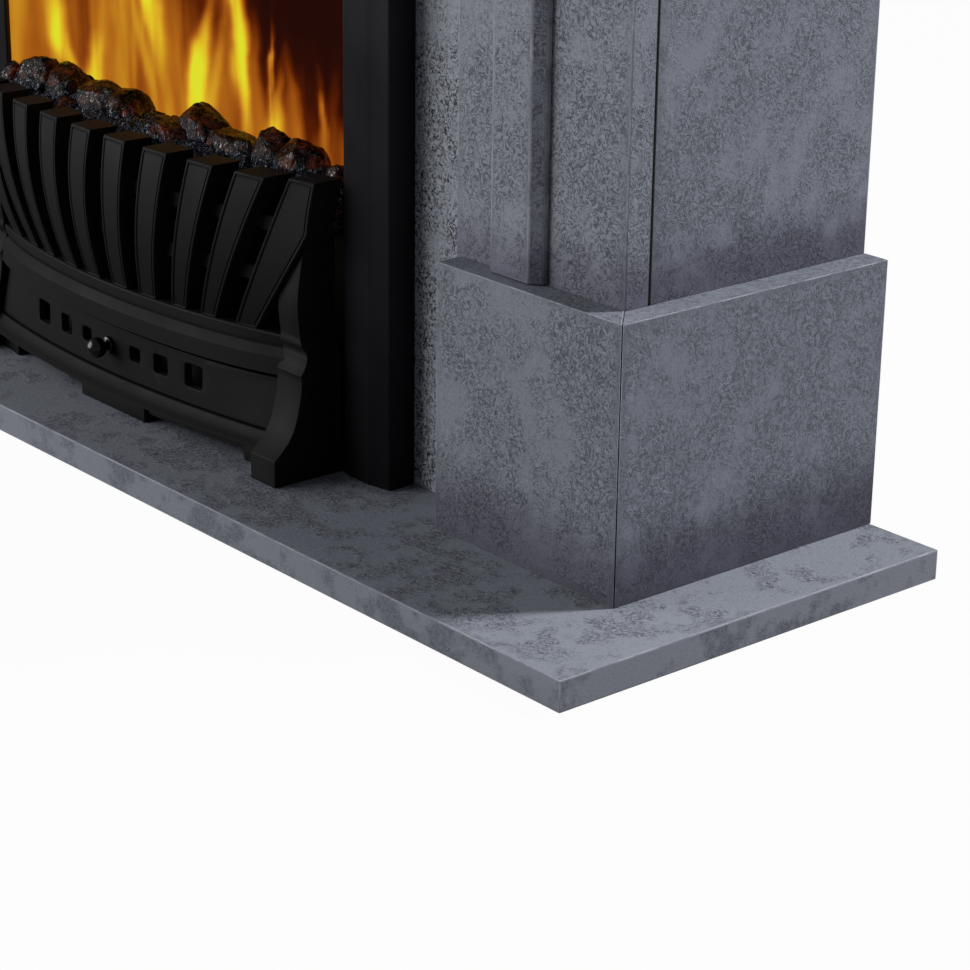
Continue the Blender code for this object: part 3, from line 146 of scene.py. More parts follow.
def stone_effect(name, foot=-1.0, length=0.1, contrast=0.8, light="#858994", ground="#60646e",
                 hollows="#42454e", plain_coat="#747883", bare_field=0.74, full_field=1.04,
                 foot_shade_tint="#aaa5b2", curl=0.35, size=1.0):
    """Fibreboard with a trowelled grey mineral coat: matt and cool grey. Where it lies thick its skin is a
    net of pale curly ridges a few mm across over darker hollows, and where it lies thin it is smooth and
    pale. Edges are smoother; a painted highlight runs along the arrises, painted shade lies in the joints,
    and a violet-leaning painted shade darkens the coat for length above the foot"""
    made, put, at = new_material(name)
    rim = put("Attribute", attribute_name="rim")["Fac"]
    arris = put("Attribute", attribute_name="arris")["Fac"]
    # Clouds 60-120 mm across and patches 20 mm across say how thickly the coat lies
    cloud = put("TexNoise", {"Vector": at, "Scale": 13.0, "Detail": 2.0, "Distortion": 0.6})[0]
    patch = put("TexNoise", {"Vector": at, "Scale": 52.0, "Detail": 3.0, "Roughness": 0.6})[0]
    cover = put("Math", (cloud, patch), operation="ADD")[0]
    thick = put("MapRange", (cover, bare_field, full_field))[0]
    # The ridges curl, so the point they are read at is pushed about first
    push = put("TexNoise", {"Vector": at, "Scale": 120.0, "Detail": 2.0})["Color"]
    pushed = put("VectorMath", (push, (0.012, 0.012, 0.012), at), operation="MULTIPLY_ADD")[0]
    # Two sets cross, each drawn along a diagonal of space, so that every board shows both ways
    ways = [(0.0, math.radians(tilt), math.radians(45.0)) for tilt in (54.7, 125.3)]
    strokes = []
    for turn in ways:
        drawn = (1.7 * size * MM, 1.7 * size * MM, 3.6 * size * MM)
        along = put("Mapping", {"Vector": pushed, "Rotation": turn, "Scale": drawn}, vector_type="TEXTURE")[0]
        strokes.append(put("TexNoise", {"Vector": along, "Scale": 1.0, "Detail": 3.0, "Roughness": 0.62,
                                        "Distortion": 0.3})[0])
    skin = put("Math", (strokes[0], strokes[1]), operation="MINIMUM")[0]
    fine = put("TexNoise", {"Vector": at, "Scale": 900.0, "Detail": 1.0})[0]
    # Where the coat is thick more of the skin falls below the hollow's edge
    edge = put("Math", (thick, 0.07, 0.375), operation="MULTIPLY_ADD")[0]
    above = put("Math", (skin, edge), operation="SUBTRACT")[0]
    open_field = put("MapRange", (rim, 0.3, 1.0, 1.0, 0.3))[0]
    strength = put("MapRange", (thick, 0.0, 1.0, 0.35 * contrast, contrast))[0]
    strength = put("Math", (strength, open_field), operation="MULTIPLY")[0]
    level = put("MapRange", (above, -0.09, 0.11))[0]
    tone = put("ValToRGB", (level,), [(0.20, hollows), (0.40, ground), (0.54, ground), (0.70, light)])[0]
    plain = put("Mix", {"Factor": thick, 6: linear(plain_coat), 7: linear(ground)}, **COLOUR)[2]
    field = put("Mix", {"Factor": strength, 6: plain, 7: tone}, **COLOUR)[2]
    grain = put("MapRange", (fine, 0.3, 0.7, 0.91, 1.08))[0]
    coat = put("Mix", {"Factor": 1.0, 6: field, 7: grain}, **TINT)[2]
    # Here and there the trowel has left a pale curl, a millimetre thick and some centimetres long
    sweep = put("Mapping", {"Vector": pushed, "Rotation": ways[0],
                            "Scale": (6.0 * MM, 6.0 * MM, 15.0 * MM)}, vector_type="TEXTURE")[0]
    swirl = put("TexNoise", {"Vector": sweep, "Scale": 1.0, "Detail": 1.0})[0]
    off = put("Math", (swirl, 0.5), operation="SUBTRACT")[0]
    near = put("Math", (off,), operation="ABSOLUTE")[0]
    ridge = put("MapRange", (near, 0.0, 0.03, curl, 0.0))[0]
    held = put("MapRange", (patch, 0.44, 0.60))[0]
    curled = put("Math", (ridge, held), operation="MULTIPLY")[0]
    # Painted highlight along the arris, broken up by the patches, and painted shade in the joints, where
    # arris is below nothing
    highlight_breaks = put("MapRange", (patch, 0.40, 0.56, 0.1, 0.75))[0]
    arris_highlight = put("Math", (arris, highlight_breaks), operation="MULTIPLY", use_clamp=True)[0]
    joint_shade = put("Math", (arris, -1.0), operation="MULTIPLY", use_clamp=True)[0]
    for share, code in ((curled, light), (arris_highlight, "#a0a2aa"), (joint_shade, "#17181b")):
        coat = put("Mix", {"Factor": share, 6: coat, 7: linear(code)}, **COLOUR)[2]
    # Painted shade darkens the coat for length above the foot; it stands higher where the coat is thick, and
    # it leans to violet
    rise = put("SeparateXYZ", (at,))["Z"]
    ragged = put("Math", (cover, -0.03, rise), operation="MULTIPLY_ADD")[0]
    foot_shade = put("MapRange", (ragged, foot - 0.02, foot - 0.03 + length, 1.0, 0.0),
                interpolation_type="SMOOTHERSTEP")[0]
    colour = put("Mix", {"Factor": foot_shade, 6: coat, 7: linear(foot_shade_tint)}, **TINT)[2]
    rough = put("MapRange", (above, -0.06, 0.04, 0.75, 0.55))[0]
    relief = put("Math", (skin, strength), operation="MULTIPLY")[0]
    relief = put("Math", (curled, 0.25, relief), operation="MULTIPLY_ADD")[0]
    bump = put("Bump", {"Height": relief, "Strength": 0.35, "Distance": 4.0 * MM})[0]
    return surfaced(made, Base_Color=colour, Roughness=rough, Normal=bump)


def bare_fibreboard():
    """Raw medium-density fibreboard: pale brown, matt, with a fuzz of fibres under a millimetre long"""
    made, put, at = new_material("bare fibreboard")
    fuzz = put("TexNoise", {"Vector": at, "Scale": 1100.0, "Detail": 3.0})[0]
    cloud = put("TexNoise", {"Vector": at, "Scale": 9.0, "Detail": 3.0})[0]
    both = put("Mix", {"Factor": 0.35, 2: fuzz, 3: cloud})[0]
    colour = put("ValToRGB", (both,), [(0.35, "#8c7658"), (0.5, "#a18a69"), (0.65, "#b29c7b")])[0]
    bump = put("Bump", {"Height": fuzz, "Strength": 0.25, "Distance": 0.2 * MM})[0]
    return surfaced(made, Base_Color=colour, Roughness=0.85, Normal=bump)


def sawn_softwood(name, upright):
    """Planed pine batten: pale straw, rings a few mm apart drawn out along the batten's length"""
    made, put, at = new_material(name)
    stretch = (9.0, 9.0, 0.7) if upright else (0.7, 9.0, 9.0)
    hairs = (900.0, 900.0, 30.0) if upright else (30.0, 900.0, 900.0)
    long = put("Mapping", {"Vector": at, "Scale": stretch})[0]
    rings = put("TexWave", {"Vector": long, "Scale": 5.0, "Distortion": 3.0, "Detail": 2.0,
                            "Detail Scale": 1.0}, bands_direction="X" if upright else "Z")["Fac"]
    fibre = put("Mapping", {"Vector": at, "Scale": hairs})[0]
    hair = put("TexNoise", {"Vector": fibre, "Scale": 1.0, "Detail": 2.0})[0]
    colour = put("ValToRGB", (rings,), [(0.1, "#c9ad82"), (0.7, "#c2a477"), (0.97, "#ab885a")])[0]
    tint = put("MapRange", (hair, 0.0, 1.0, 0.90, 1.06))[0]
    both = put("Mix", {"Factor": 1.0, 6: colour, 7: tint}, **TINT)[2]
    bump = put("Bump", {"Height": hair, "Strength": 0.2, "Distance": 0.2 * MM})[0]
    return surfaced(made, Base_Color=both, Roughness=0.62, Normal=bump)


def black_enamel(name, code, rough, grit, sheen):
    """Casting or pressing in matt black heat-proof paint: near black, with orange peel a millimetre across"""
    made, put, at = new_material(name)
    peel = put("TexNoise", {"Vector": at, "Scale": grit, "Detail": 2.0})[0]
    cloud = put("TexNoise", {"Vector": at, "Scale": 22.0, "Detail": 3.0})[0]
    shade, gloss = (put("MapRange", (cloud, 0.3, 0.7, least, most))[0]
                    for least, most in ((0.86, 1.12), (rough - 0.05, rough + 0.07)))
    colour = put("Mix", {"Factor": 1.0, 6: linear(code), 7: shade}, **TINT)[2]
    bump = put("Bump", {"Height": peel, "Strength": 0.12, "Distance": 0.1 * MM})[0]
    return surfaced(made, Base_Color=colour, Roughness=gloss, Specular_IOR_Level=sheen, Normal=bump)


def gloss_black():
    """Injection-moulded gloss black ABS: deep black with sharp small highlights and a trace of dust"""
    made, put, at = new_material("gloss black moulding")
    dust = put("TexNoise", {"Vector": at, "Scale": 500.0, "Detail": 2.0})[0]
    gloss = put("MapRange", (dust, 0.45, 0.75, 0.13, 0.28))[0]
    colour = put("ValToRGB", (dust,), [(0.4, "#070708"), (0.7, "#0d0d0f")])[0]
    return surfaced(made, Base_Color=colour, Roughness=gloss)


def plated_steel(name, low, high, rough):
    """Zinc-plated or galvanised sheet: cool grey metal with soft spangles a few mm across"""
    made, put, at = new_material(name)
    spangle = put("TexVoronoi", {"Vector": at, "Scale": 180.0})["Color"]
    grey = put("SeparateColor", (spangle,))[0]
    cloud = put("TexNoise", {"Vector": at, "Scale": 40.0, "Detail": 3.0})[0]
    both = put("Mix", {"Factor": 0.6, 2: grey, 3: cloud})[0]
    colour = put("ValToRGB", (both,), [(0.25, low), (0.75, high)])[0]
    gloss = put("MapRange", (both, 0.0, 1.0, rough - 0.08, rough + 0.12))[0]
    return surfaced(made, Base_Color=colour, Roughness=gloss, Metallic=1.0)


def plain_moulding(name, low, high, rough):
    """Moulded plastic, rubber or ceramic: one colour with a faint cloudiness and a fine moulded grain"""
    made, put, at = new_material(name)
    cloud = put("TexNoise", {"Vector": at, "Scale": 60.0, "Detail": 3.0})[0]
    grain = put("TexNoise", {"Vector": at, "Scale": 1500.0, "Detail": 1.0})[0]
    colour = put("ValToRGB", (cloud,), [(0.35, low), (0.65, high)])[0]
    bump = put("Bump", {"Height": grain, "Strength": 0.15, "Distance": 0.1 * MM})[0]
    return surfaced(made, Base_Color=colour, Roughness=rough, Normal=bump)


def flame_picture():
    """Back-lit flame picture: warmth is kept per point, and the ramp runs from soot brown to yellow.
    Soft streaks 20 mm wide and 130 mm tall are combed through it"""
    made, put, at = new_material("back-lit flame picture")
    warmth = put("Attribute", attribute_name="warmth")["Fac"]
    tall = put("Mapping", {"Vector": at, "Scale": (46.0, 46.0, 7.5)})[0]
    comb = put("TexNoise", {"Vector": tall, "Scale": 1.0, "Detail": 1.5, "Roughness": 0.45,
                            "Distortion": 0.8})[0]
    swing = put("MapRange", (comb, 0.3, 0.7, 0.80, 1.18))[0]
    stirred = put("Math", (warmth, swing), operation="MULTIPLY")[0]
    colour = put("ValToRGB", (stirred,),
                 [(0.00, "#1c0806"), (0.12, "#2c0c05"), (0.24, "#561d03"), (0.38, "#8a420e"),
                  (0.52, "#ae6417"), (0.66, "#c68820"), (0.80, "#dcae24"), (0.92, "#e2cc28"),
                  (1.00, "#dede2c")])[0]
    return surfaced(made, Base_Color=linear("#020202"), Roughness=0.6, Specular_IOR_Level=0.0,
                    Emission_Color=colour, Emission_Strength=1.0)


def glazed_coal():
    """Translucent resin coals lit from below: smooth glassy crowns, red-brown to black, over a blue-grey
    crust of crushed glass whose grains, a millimetre across, throw white sparks, partly real glints and
    partly painted glints"""
    made, put, at = new_material("glazed resin coal")
    crown = put("Attribute", attribute_name="crown")["Fac"]
    cloud = put("TexNoise", {"Vector": at, "Scale": 90.0, "Detail": 3.0, "Roughness": 0.6,
                             "Distortion": 0.8})[0]
    grains = put("TexVoronoi", {"Vector": at, "Scale": 750.0})["Color"]
    grain = put("SeparateColor", (grains,))[0]
    drawn = put("Mapping", {"Vector": at, "Scale": (520.0, 520.0, 210.0)})[0]
    wrinkle = put("TexNoise", {"Vector": drawn, "Scale": 1.0, "Detail": 2.0, "Roughness": 0.7,
                               "Distortion": 1.2})[0]
    mixed = put("Math", (cloud, 0.7, crown), operation="MULTIPLY_ADD")[0]
    clear = put("MapRange", (mixed, 0.62, 0.92), interpolation_type="SMOOTHSTEP")[0]
    grain = put("Math", (grain, 0.35), operation="MULTIPLY")[0]
    crust = put("Math", (wrinkle, 0.8, grain), operation="MULTIPLY_ADD")[0]
    # The crust's ramp ends in pale grey-white: painted glints on the glass grains
    frosted_and_glints = put("ValToRGB", (crust,),
                  [(0.36, "#030406"), (0.56, "#0b0e14"), (0.68, "#262d3a"), (0.79, "#545c6a"),
                   (0.88, "#b8c0cc")])[0]
    amber = put("ValToRGB", (cloud,), [(0.36, "#040202"), (0.52, "#140805"), (0.70, "#34170c")])[0]
    colour = put("Mix", {"Factor": clear, 6: frosted_and_glints, 7: amber}, **COLOUR)[2]
    inner = put("ValToRGB", (cloud,), [(0.46, "#000000"), (0.60, "#1e0803"), (0.76, "#521a06")])[0]
    glow = put("Mix", {"Factor": clear, 6: linear("#000000"), 7: inner}, **COLOUR)[2]
    roughness = put("MapRange", (clear, 0.0, 1.0, 0.16, 0.10))[0]
    depth = put("MapRange", (clear, 0.0, 1.0, 1.0, 0.4))[0]
    grit = put("Math", (crust, depth), operation="MULTIPLY")[0]
    bump = put("Bump", {"Height": grit, "Strength": 0.9, "Distance": 1.6 * MM})[0]
    spark = put("MapRange", (wrinkle, 0.57, 0.67, 0.06, 1.0))[0]
    return surfaced(made, Base_Color=colour, Roughness=roughness, Specular_IOR_Level=spark,
                    Emission_Color=glow, Emission_Strength=0.8, Normal=bump)


STONE = stone_effect("trowelled stone coat")
STONE_SLAB = stone_effect("trowelled stone coat of the hearth", contrast=1.0, light="#81858f",
                          ground="#646872", hollows="#484b54", plain_coat="#7d818b", bare_field=0.96,
                          full_field=1.10, curl=0.0)
# The panel's coat is painted paler than the rest: painted light making up for the shade it stands in between
# the columns
STONE_PANEL = stone_effect("trowelled stone coat of the panel", contrast=1.0, light="#9ca0aa",
                           ground="#676b75", hollows="#17181c", plain_coat="#82868f")
# Plinths and columns take painted shade for some mm above their feet
STONE_PLINTH = stone_effect("trowelled stone coat of the plinths", SLAB_TOP, 70.0 * MM)
STONE_PLINTH_SIDE = stone_effect("trowelled stone coat of the plinth sides", SLAB_TOP, 70.0 * MM,
                                 contrast=0.45, light="#898d98", bare_field=0.66, full_field=1.0,
                                 curl=0.6, size=1.35)
STONE_COLUMN = stone_effect("trowelled stone coat of the columns", 194.0 * MM, 45.0 * MM, light="#8d919c",
                            ground="#676b75", plain_coat="#7c808b", foot_shade_tint="#c4c0cb")
STONE_COLUMN_SIDE = stone_effect("trowelled stone coat of the column sides", 194.0 * MM, 55.0 * MM,
                                 contrast=0.6, plain_coat="#787c87", foot_shade_tint="#bcb8c4", curl=0.5, size=1.15)
RAW_BOARD = bare_fibreboard()
RAIL_WOOD = sawn_softwood("planed softwood rail", False)
BATTEN_WOOD = sawn_softwood("planed softwood batten", True)
CAST_BLACK = black_enamel("matt black casting", "#0f0f10", 0.60, 900.0, 0.12)
SHEET_BLACK = black_enamel("satin black sheet", "#232326", 0.50, 1400.0, 0.16)
GLOSS = gloss_black()
ZINC = plated_steel("zinc plate", "#8d9194", "#c0c4c8", 0.34)
STEEL = plated_steel("galvanised sheet", "#7c8084", "#b4b8bb", 0.42)
RUBBER = plain_moulding("black rubber", "#0c0c0c", "#141414", 0.75)
IVORY = plain_moulding("ivory moulding", "#c4bca6", "#d2cab4", 0.45)
CERAMIC = plain_moulding("heater ceramic", "#7f7264", "#96887a", 0.8)
LAMP_WHITE = plain_moulding("white lamp board", "#cfcfc8", "#dededa", 0.4)
FLAMES = flame_picture()
COAL = glazed_coal()


def piece(name, bm, finishes, stands_for=(), body="suite", sharp=35):
    """Finish a bmesh as a piece that rides on a CAD body; sharp is the angle that stays an edge"""
    bmesh.ops.recalc_face_normals(bm, faces=bm.faces)
    mesh = bpy.data.meshes.new(name)
    bm.to_mesh(mesh)
    bm.free()
    made = shown(name, mesh)
    for finish in finishes:
        mesh.materials.append(finish)
    mesh.shade_smooth()
    mesh.set_sharp_from_angle(angle=math.radians(sharp))
    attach(made, body)
    if stands_for:
        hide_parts(*stands_for)
    return made


def span(bm, low, high):
    """A cube set between two corners"""
    size = Vector(high) - Vector(low)
    middle = (Vector(high) + Vector(low)) / 2
    place = Matrix.Translation(middle) @ Matrix.Diagonal((*size, 1))
    return bmesh.ops.create_cube(bm, size=1, matrix=place)["verts"]


def open_edges(bm):
    """Edges with one face only"""
    return [e for e in bm.edges if e.is_boundary]


def new_verts(run):
    """The vertices among what an extrusion made"""
    return [g for g in run["geom"] if isinstance(g, bmesh.types.BMVert)]


def draw_out(bm, faces, vec):
    """Extrude faces by a vector"""
    bmesh.ops.translate(bm, vec=vec, verts=new_verts(bmesh.ops.extrude_face_region(bm, geom=faces)))


def round_off(bm, edges, offset, segments=2):
    """Round edges over"""
    bmesh.ops.bevel(bm, geom=edges, offset=offset, segments=segments, profile=0.5, affect="EDGES",
                    material=-1)


def cast(name, bm, stands_for=(), body="suite", sharp=30):
    """A black casting"""
    piece(name, bm, (CAST_BLACK,), stands_for, body, sharp)


def mark(verts, layer, value):
    """Write one value on some vertices"""
    for vert in verts:
        vert[layer] = value


def coat_layers(bm, value):
    """The two layers that the stone effect reads: 1 on the outer rim and on the arris"""
    for name in ("rim", "arris"):
        mark(bm.verts, bm.verts.layers.float.new(name), value)


def coat_faces(bm, rim_width, narrow=0.45):
    """Bands on a board: an arris band painted with a highlight, then a smooth rim that fades into the open
    field
    """
    rim = bm.verts.layers.float["rim"]
    arris = bm.verts.layers.float["arris"]
    flats = [f for f in bm.faces if min(e.calc_length() for e in f.edges) > FLAT_LEAST]
    bmesh.ops.inset_individual(bm, faces=flats, thickness=HIGHLIGHT_ARRIS_WIDTH, use_even_offset=True)
    for face in flats:
        mark(face.verts, arris, 0.0)
    wide = [f for f in flats if min(e.calc_length() for e in f.edges) > FIELD_LEAST * rim_width]
    for face in flats:
        if face not in wide:
            mark(face.verts, rim, narrow)
    bmesh.ops.inset_individual(bm, faces=wide, thickness=rim_width, use_even_offset=True)
    for face in wide:
        mark(face.verts, rim, 0.0)


def board(node, finish, bare=(), mitre=None, rim_width=RIM_WIDTH, rounding=0.6 * MM, joints=(), narrow=0.45):
    """A coated board in a CAD board's place. bare names the sides left raw; mitre cuts one end at 45
    degrees: the axis it runs along, the end's direction and the direction of the side that is shortened.
    joints names the sides whose arrises are painted with the shade of a joint, narrow is the rim on the slim
    faces"""
    low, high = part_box(node)
    bm = bmesh.new()
    corners = span(bm, low, high)
    if mitre:
        along, end, inner = mitre
        across = 1 - along
        thick = min(high[0] - low[0], high[1] - low[1])
        middle = (low + high) / 2
        for vert in corners:
            at_end = (vert.co[along] - middle[along]) * end > 0
            inside = (vert.co[across] - middle[across]) * inner > 0
            if at_end:
                vert.co[along] += end * MITRE_CLOSE
            if at_end and inside:
                vert.co[along] -= end * thick
    round_off(bm, bm.edges[:], rounding)
    coat_layers(bm, 1.0)
    coat_faces(bm, rim_width, narrow)
    arris = bm.verts.layers.float["arris"]
    # Arrises at the joints are marked -1, where the stone coat paints shade into the joint
    for axis, way in joints:
        limit = high[axis] if way > 0 else low[axis]
        near = [v for v in bm.verts if abs(v.co[axis] - limit) < 1.05 * rounding and v[arris] > 0.5]
        mark(near, arris, -1.0)
    for axis, way in bare:
        for face in bm.faces:
            if face.normal[axis] * way > 0.99:
                face.material_index = 1
    piece("mantel_" + node, bm, (finish, RAW_BOARD), (node,))


def coated_boards():
    """Every board of the mantel and hearth"""
    board("hearth_slab", STONE_SLAB, bare=[(Z, -1)], rim_width=12 * MM, narrow=0.95)
    board("shelf_board", STONE, rim_width=12 * MM)
    board("shelf_moulding", STONE)
    board("frieze_board", STONE, bare=[(Y, 1)])
    for side, way in (("left", -1), ("right", 1)):
        for name in ("plinth", "capital"):
            front, flank = (STONE_PLINTH, STONE_PLINTH_SIDE) if name == "plinth" else (STONE, STONE)
            for part, finish, bare, mitre in (("front", front, (Y, 1), (X, way, 1)),
                                              ("side", flank, (X, -way), (Y, -1, -way))):
                board("%s_%s_%s" % (name, part, side), finish, [bare], mitre, rounding=0.2 * MM)
        board("column_front_" + side, STONE_COLUMN, bare=[(Y, 1)], joints=[(Y, 1)])
        board("column_side_" + side, STONE_COLUMN_SIDE, bare=[(X, -way)], joints=[(Y, -1)], rounding=0.9 * MM)


def moulded_strip(node, axis):
    """Pilaster or frieze strip: flat face, sloping sides and square shoulders, drawn along one axis"""
    low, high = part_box(node)
    across = X if axis == Z else Z
    foot, face = high[Y], low[Y]
    shoulder = foot - STRIP_SHOULDER
    section = [(low[across], foot), (low[across], shoulder), (low[across] + STRIP_SLOPE, face),
               (high[across] - STRIP_SLOPE, face), (high[across], shoulder), (high[across], foot)]
    bm = bmesh.new()
    ring = []
    for u, y in section:
        point = Vector((0, y, 0))
        point[across] = u
        point[axis] = low[axis]
        ring.append(bm.verts.new(point))
    lift = Vector((0, 0, 0))
    lift[axis] = high[axis] - low[axis]
    draw_out(bm, [bm.faces.new(ring)], lift)
    round_off(bm, bm.edges[:], 0.7 * MM)
    coat_layers(bm, 1.0)
    coat_faces(bm, 3.5 * MM)
    piece("mantel_" + node, bm, (STONE_COLUMN,), (node,))


def back_panel():
    """Panel between the columns: a U of board round the fire's casing"""
    low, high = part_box("surround_panel")
    casing_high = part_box("casing")[1]
    hole, top = casing_high[X] + PANEL_CLEAR, casing_high[Z] + PANEL_CLEAR
    bm = bmesh.new()
    outline = [(low[X], low[Z]), (-hole, low[Z]), (-hole, top), (hole, top), (hole, low[Z]),
               (high[X], low[Z]), (high[X], top), (high[X], high[Z]), (low[X], high[Z]), (low[X], top)]
    verts = [bm.verts.new((x, low[Y], z)) for x, z in outline]
    parts = ((0, 1, 2, 9), (3, 4, 5, 6), (9, 2, 3, 6, 7, 8))
    draw_out(bm, [bm.faces.new([verts[i] for i in ids]) for ids in parts], (0, high[Y] - low[Y], 0))
    coat_layers(bm, 0.0)
    bmesh.ops.recalc_face_normals(bm, faces=bm.faces)
    for face in bm.faces:
        if face.normal[Y] > 0.9:
            face.material_index = 1
    piece("mantel_surround_panel", bm, (STONE_PANEL, RAW_BOARD),
          ("surround_panel",))


def bend_rise(rise):
    """Bow of the basket at a height above the slab, as in the CAD"""
    foot, sill, top = 1 / BOW_FOOT, 1 / BOW_SILL, 1 / BOW_TOP
    if rise < SILL_RISE:
        return foot + (sill - foot) * max(rise - PAN_FOOT, 0.0) / (SILL_RISE - PAN_FOOT)
    return sill + (top - sill) * min((rise - SILL_RISE) / (BAR_RISE - SILL_RISE), 1.0)


def bow(x, rise):
    """How far the bow has fallen back at a place"""
    return x * x * bend_rise(rise) / 2


def end_fall(x, rise):
    """The upper roll and the pan's top edge fall back a little more towards the end posts"""
    reach = max(abs(x) - FALL_START, 0.0) / (POST_INNER - FALL_START)
    share = min(max((rise - PAN_FOOT) / FALL_FOOT, 0.0), max((SILL_RISE - rise) / FALL_HEAD, 0.0), 1.0)
    return END_FALL * reach ** 2.2 * share


def bar_front(x, rise):
    """Front of the bars: bowed in plan, bellied in height"""
    belly = BELLY_FALL * ((rise - BELLY_RISE) / BELLY_REACH) ** 2
    return BASKET_FRONT + belly + bow(x, rise)


def bar_edge(sill, top, swell, rise):
    """Where a bar's edge stands at a height: a flare that swells outwards a little on the way up"""
    share = (rise - SILL_RISE) / (BAR_RISE - SILL_RISE)
    return min(sill + (top - sill) * share + swell * share * (1 - share), LEAF_LIMIT)


def bend_across(bm, half):
    """Slice a straight piece across and bow it with the basket"""
    for n in range(1, BOW_STEPS):
        everything = bm.verts[:] + bm.edges[:] + bm.faces[:]
        bmesh.ops.bisect_plane(bm, geom=everything, dist=1e-6,
                               plane_co=(half * (2 * n / BOW_STEPS - 1), 0, 0), plane_no=(1, 0, 0))
    for vert in bm.verts:
        rise = vert.co.z - SLAB_TOP
        vert.co.y += bow(vert.co.x, rise) + end_fall(vert.co.x, rise)


def drawn_across(name, section, half, stands_for=(), sharp=30):
    """A casting with a (y, rise) section, drawn along X and bowed with the basket"""
    bm = bmesh.new()
    ring = [bm.verts.new((-half, y, SLAB_TOP + rise)) for y, rise in section]
    draw_out(bm, [bm.faces.new(ring)], (2 * half, 0, 0))
    bend_across(bm, half)
    cast(name, bm, stands_for, sharp=sharp)


def round_line(points, steps, keep=()):
    """Catmull-Rom line through points; those whose numbers are in keep stay corners"""
    line = []
    last = len(points) - 1
    for n in range(last):
        p1, p2 = Vector(points[n]), Vector(points[n + 1])
        p0 = Vector(points[n - 1]) if n > 0 and n not in keep else p1
        p3 = Vector(points[n + 2]) if n + 1 < last and n + 1 not in keep else p2
        for k in range(steps):
            t = k / steps
            line.append(0.5 * (2 * p1 + (p2 - p0) * t + (2 * p0 - 5 * p1 + 4 * p2 - p3) * t ** 2
                               + (3 * p1 - p0 - 3 * p2 + p3) * t ** 3))
    return line + [Vector(points[-1])]


# Upper and lower beams of the basket: y behind the bars' face, and height above the slab, in mm
UPPER_BEAM = ((16, 67.6), (-3, 67.6), (-3, 79.2), (-2.6, 79.8), (2.0, 85.0), (3.8, 86.0),
              (3.8, 87.6), (1.8, 88.2), (1.7, 93.6), (2.2, 94.4), (3.4, 94.9), (16, 95.2))
LOWER_BEAM = ((16, 7), (6, 7), (6, 16.8), (-7.8, 17.2), (-8.6, 17.8), (-8.6, 18.6), (-7.8, 19.2),
              (-5.0, 20.5), (-2.4, 22.4), (-0.2, 24.7), (1.4, 26.7), (1.9, 27.0), (16, 27.2))
# Side view of an end post, in mm short of the basket's reach and above the slab
POST_SIDE = ((4.7, 0.0), (4.8, 18.3), (13.8, 26.7), (20.9, 37.0), (25.6, 53.0), (27.8, 67.7),
             (27.3, 73.5), (30.3, 77.6), (32.3, 83.5), (31.4, 87.9), (27.4, 92.9), (26.0, 100.5),
             (24.6, 113.9), (24.8, 126.8), (27.6, 146.9), (30.3, 157.4), (33.1, 171.4), (40.5, 202.2))
POST_CORNERS = (0, 1, 6, 17)
# Each bar of the right half in mm: left and right edge on the sill, then at its top, and their swell
BARS = ((7.7, 26.2, 8.5, 34.0, 8.0), (40.0, 58.9, 54.5, 80.3, 9.0), (75.2, 90.5, 101.5, 126.5, 12.0),
        (104.0, 119.3, 146.9, 173.9, 12.0), (136.7, 156.1, 183.8, 221.5, 23.4))
# The outermost bar is a leaf: it leans back, and its outer side stops at a limit
LEAF_SETBACK = 10.0 * MM
LEAF_LIMIT = 205.6 * MM
# How the upper roll's and the pan's ends fall back, from where, and how that fades down and up
END_FALL = 4.5 * MM
FALL_START = 105 * MM
FALL_FOOT = 30 * MM
FALL_HEAD = 15 * MM
BOW_STEPS = 40
# Above the collar an end post is narrower and falls back, so that the leaf bar stands proud of it
POST_WAIST = 199.4 * MM
POST_FALL = 4.55 * MM
COLLAR = (84.0 * MM, 97.0 * MM)
BAR_DEPTH = 22 * MM
BAR_LEVELS = 16
# A bar's front in mm: insets from its edge inwards, and how far each drops or lifts
BAR_INSETS = ((2.0, 0.0), (0.35, -0.9), (0.5, 0.0), (0.3, 0.6))
# Two rails behind the bars: heights of their tops, how far behind, how deep and how tall
RAIL_TOPS = (("basket_rail_low", 138.5 * MM), ("basket_rail_high", 175.0 * MM))
RAIL_SETBACK, RAIL_DEPTH, RAIL_HEIGHT, RAIL_ROUND = 10 * MM, 7 * MM, 10 * MM, 0.8 * MM
# Skirt feet under the basket: the end ones reach in to one distance, the middle one is this wide each way
SKIRT_IN, SKIRT_MIDDLE, SKIRT_TOP = 147 * MM, 41 * MM, 14 * MM
SKIRT_FRONT, SKIRT_BACK = BAR_FACE + 3 * MM, BAR_FACE + 16 * MM
# Feet stand clear of the slab's coat, and the beams run into the end posts
FOOT_CLEAR = 0.3 * MM
BEAM_TUCK = 4 * MM


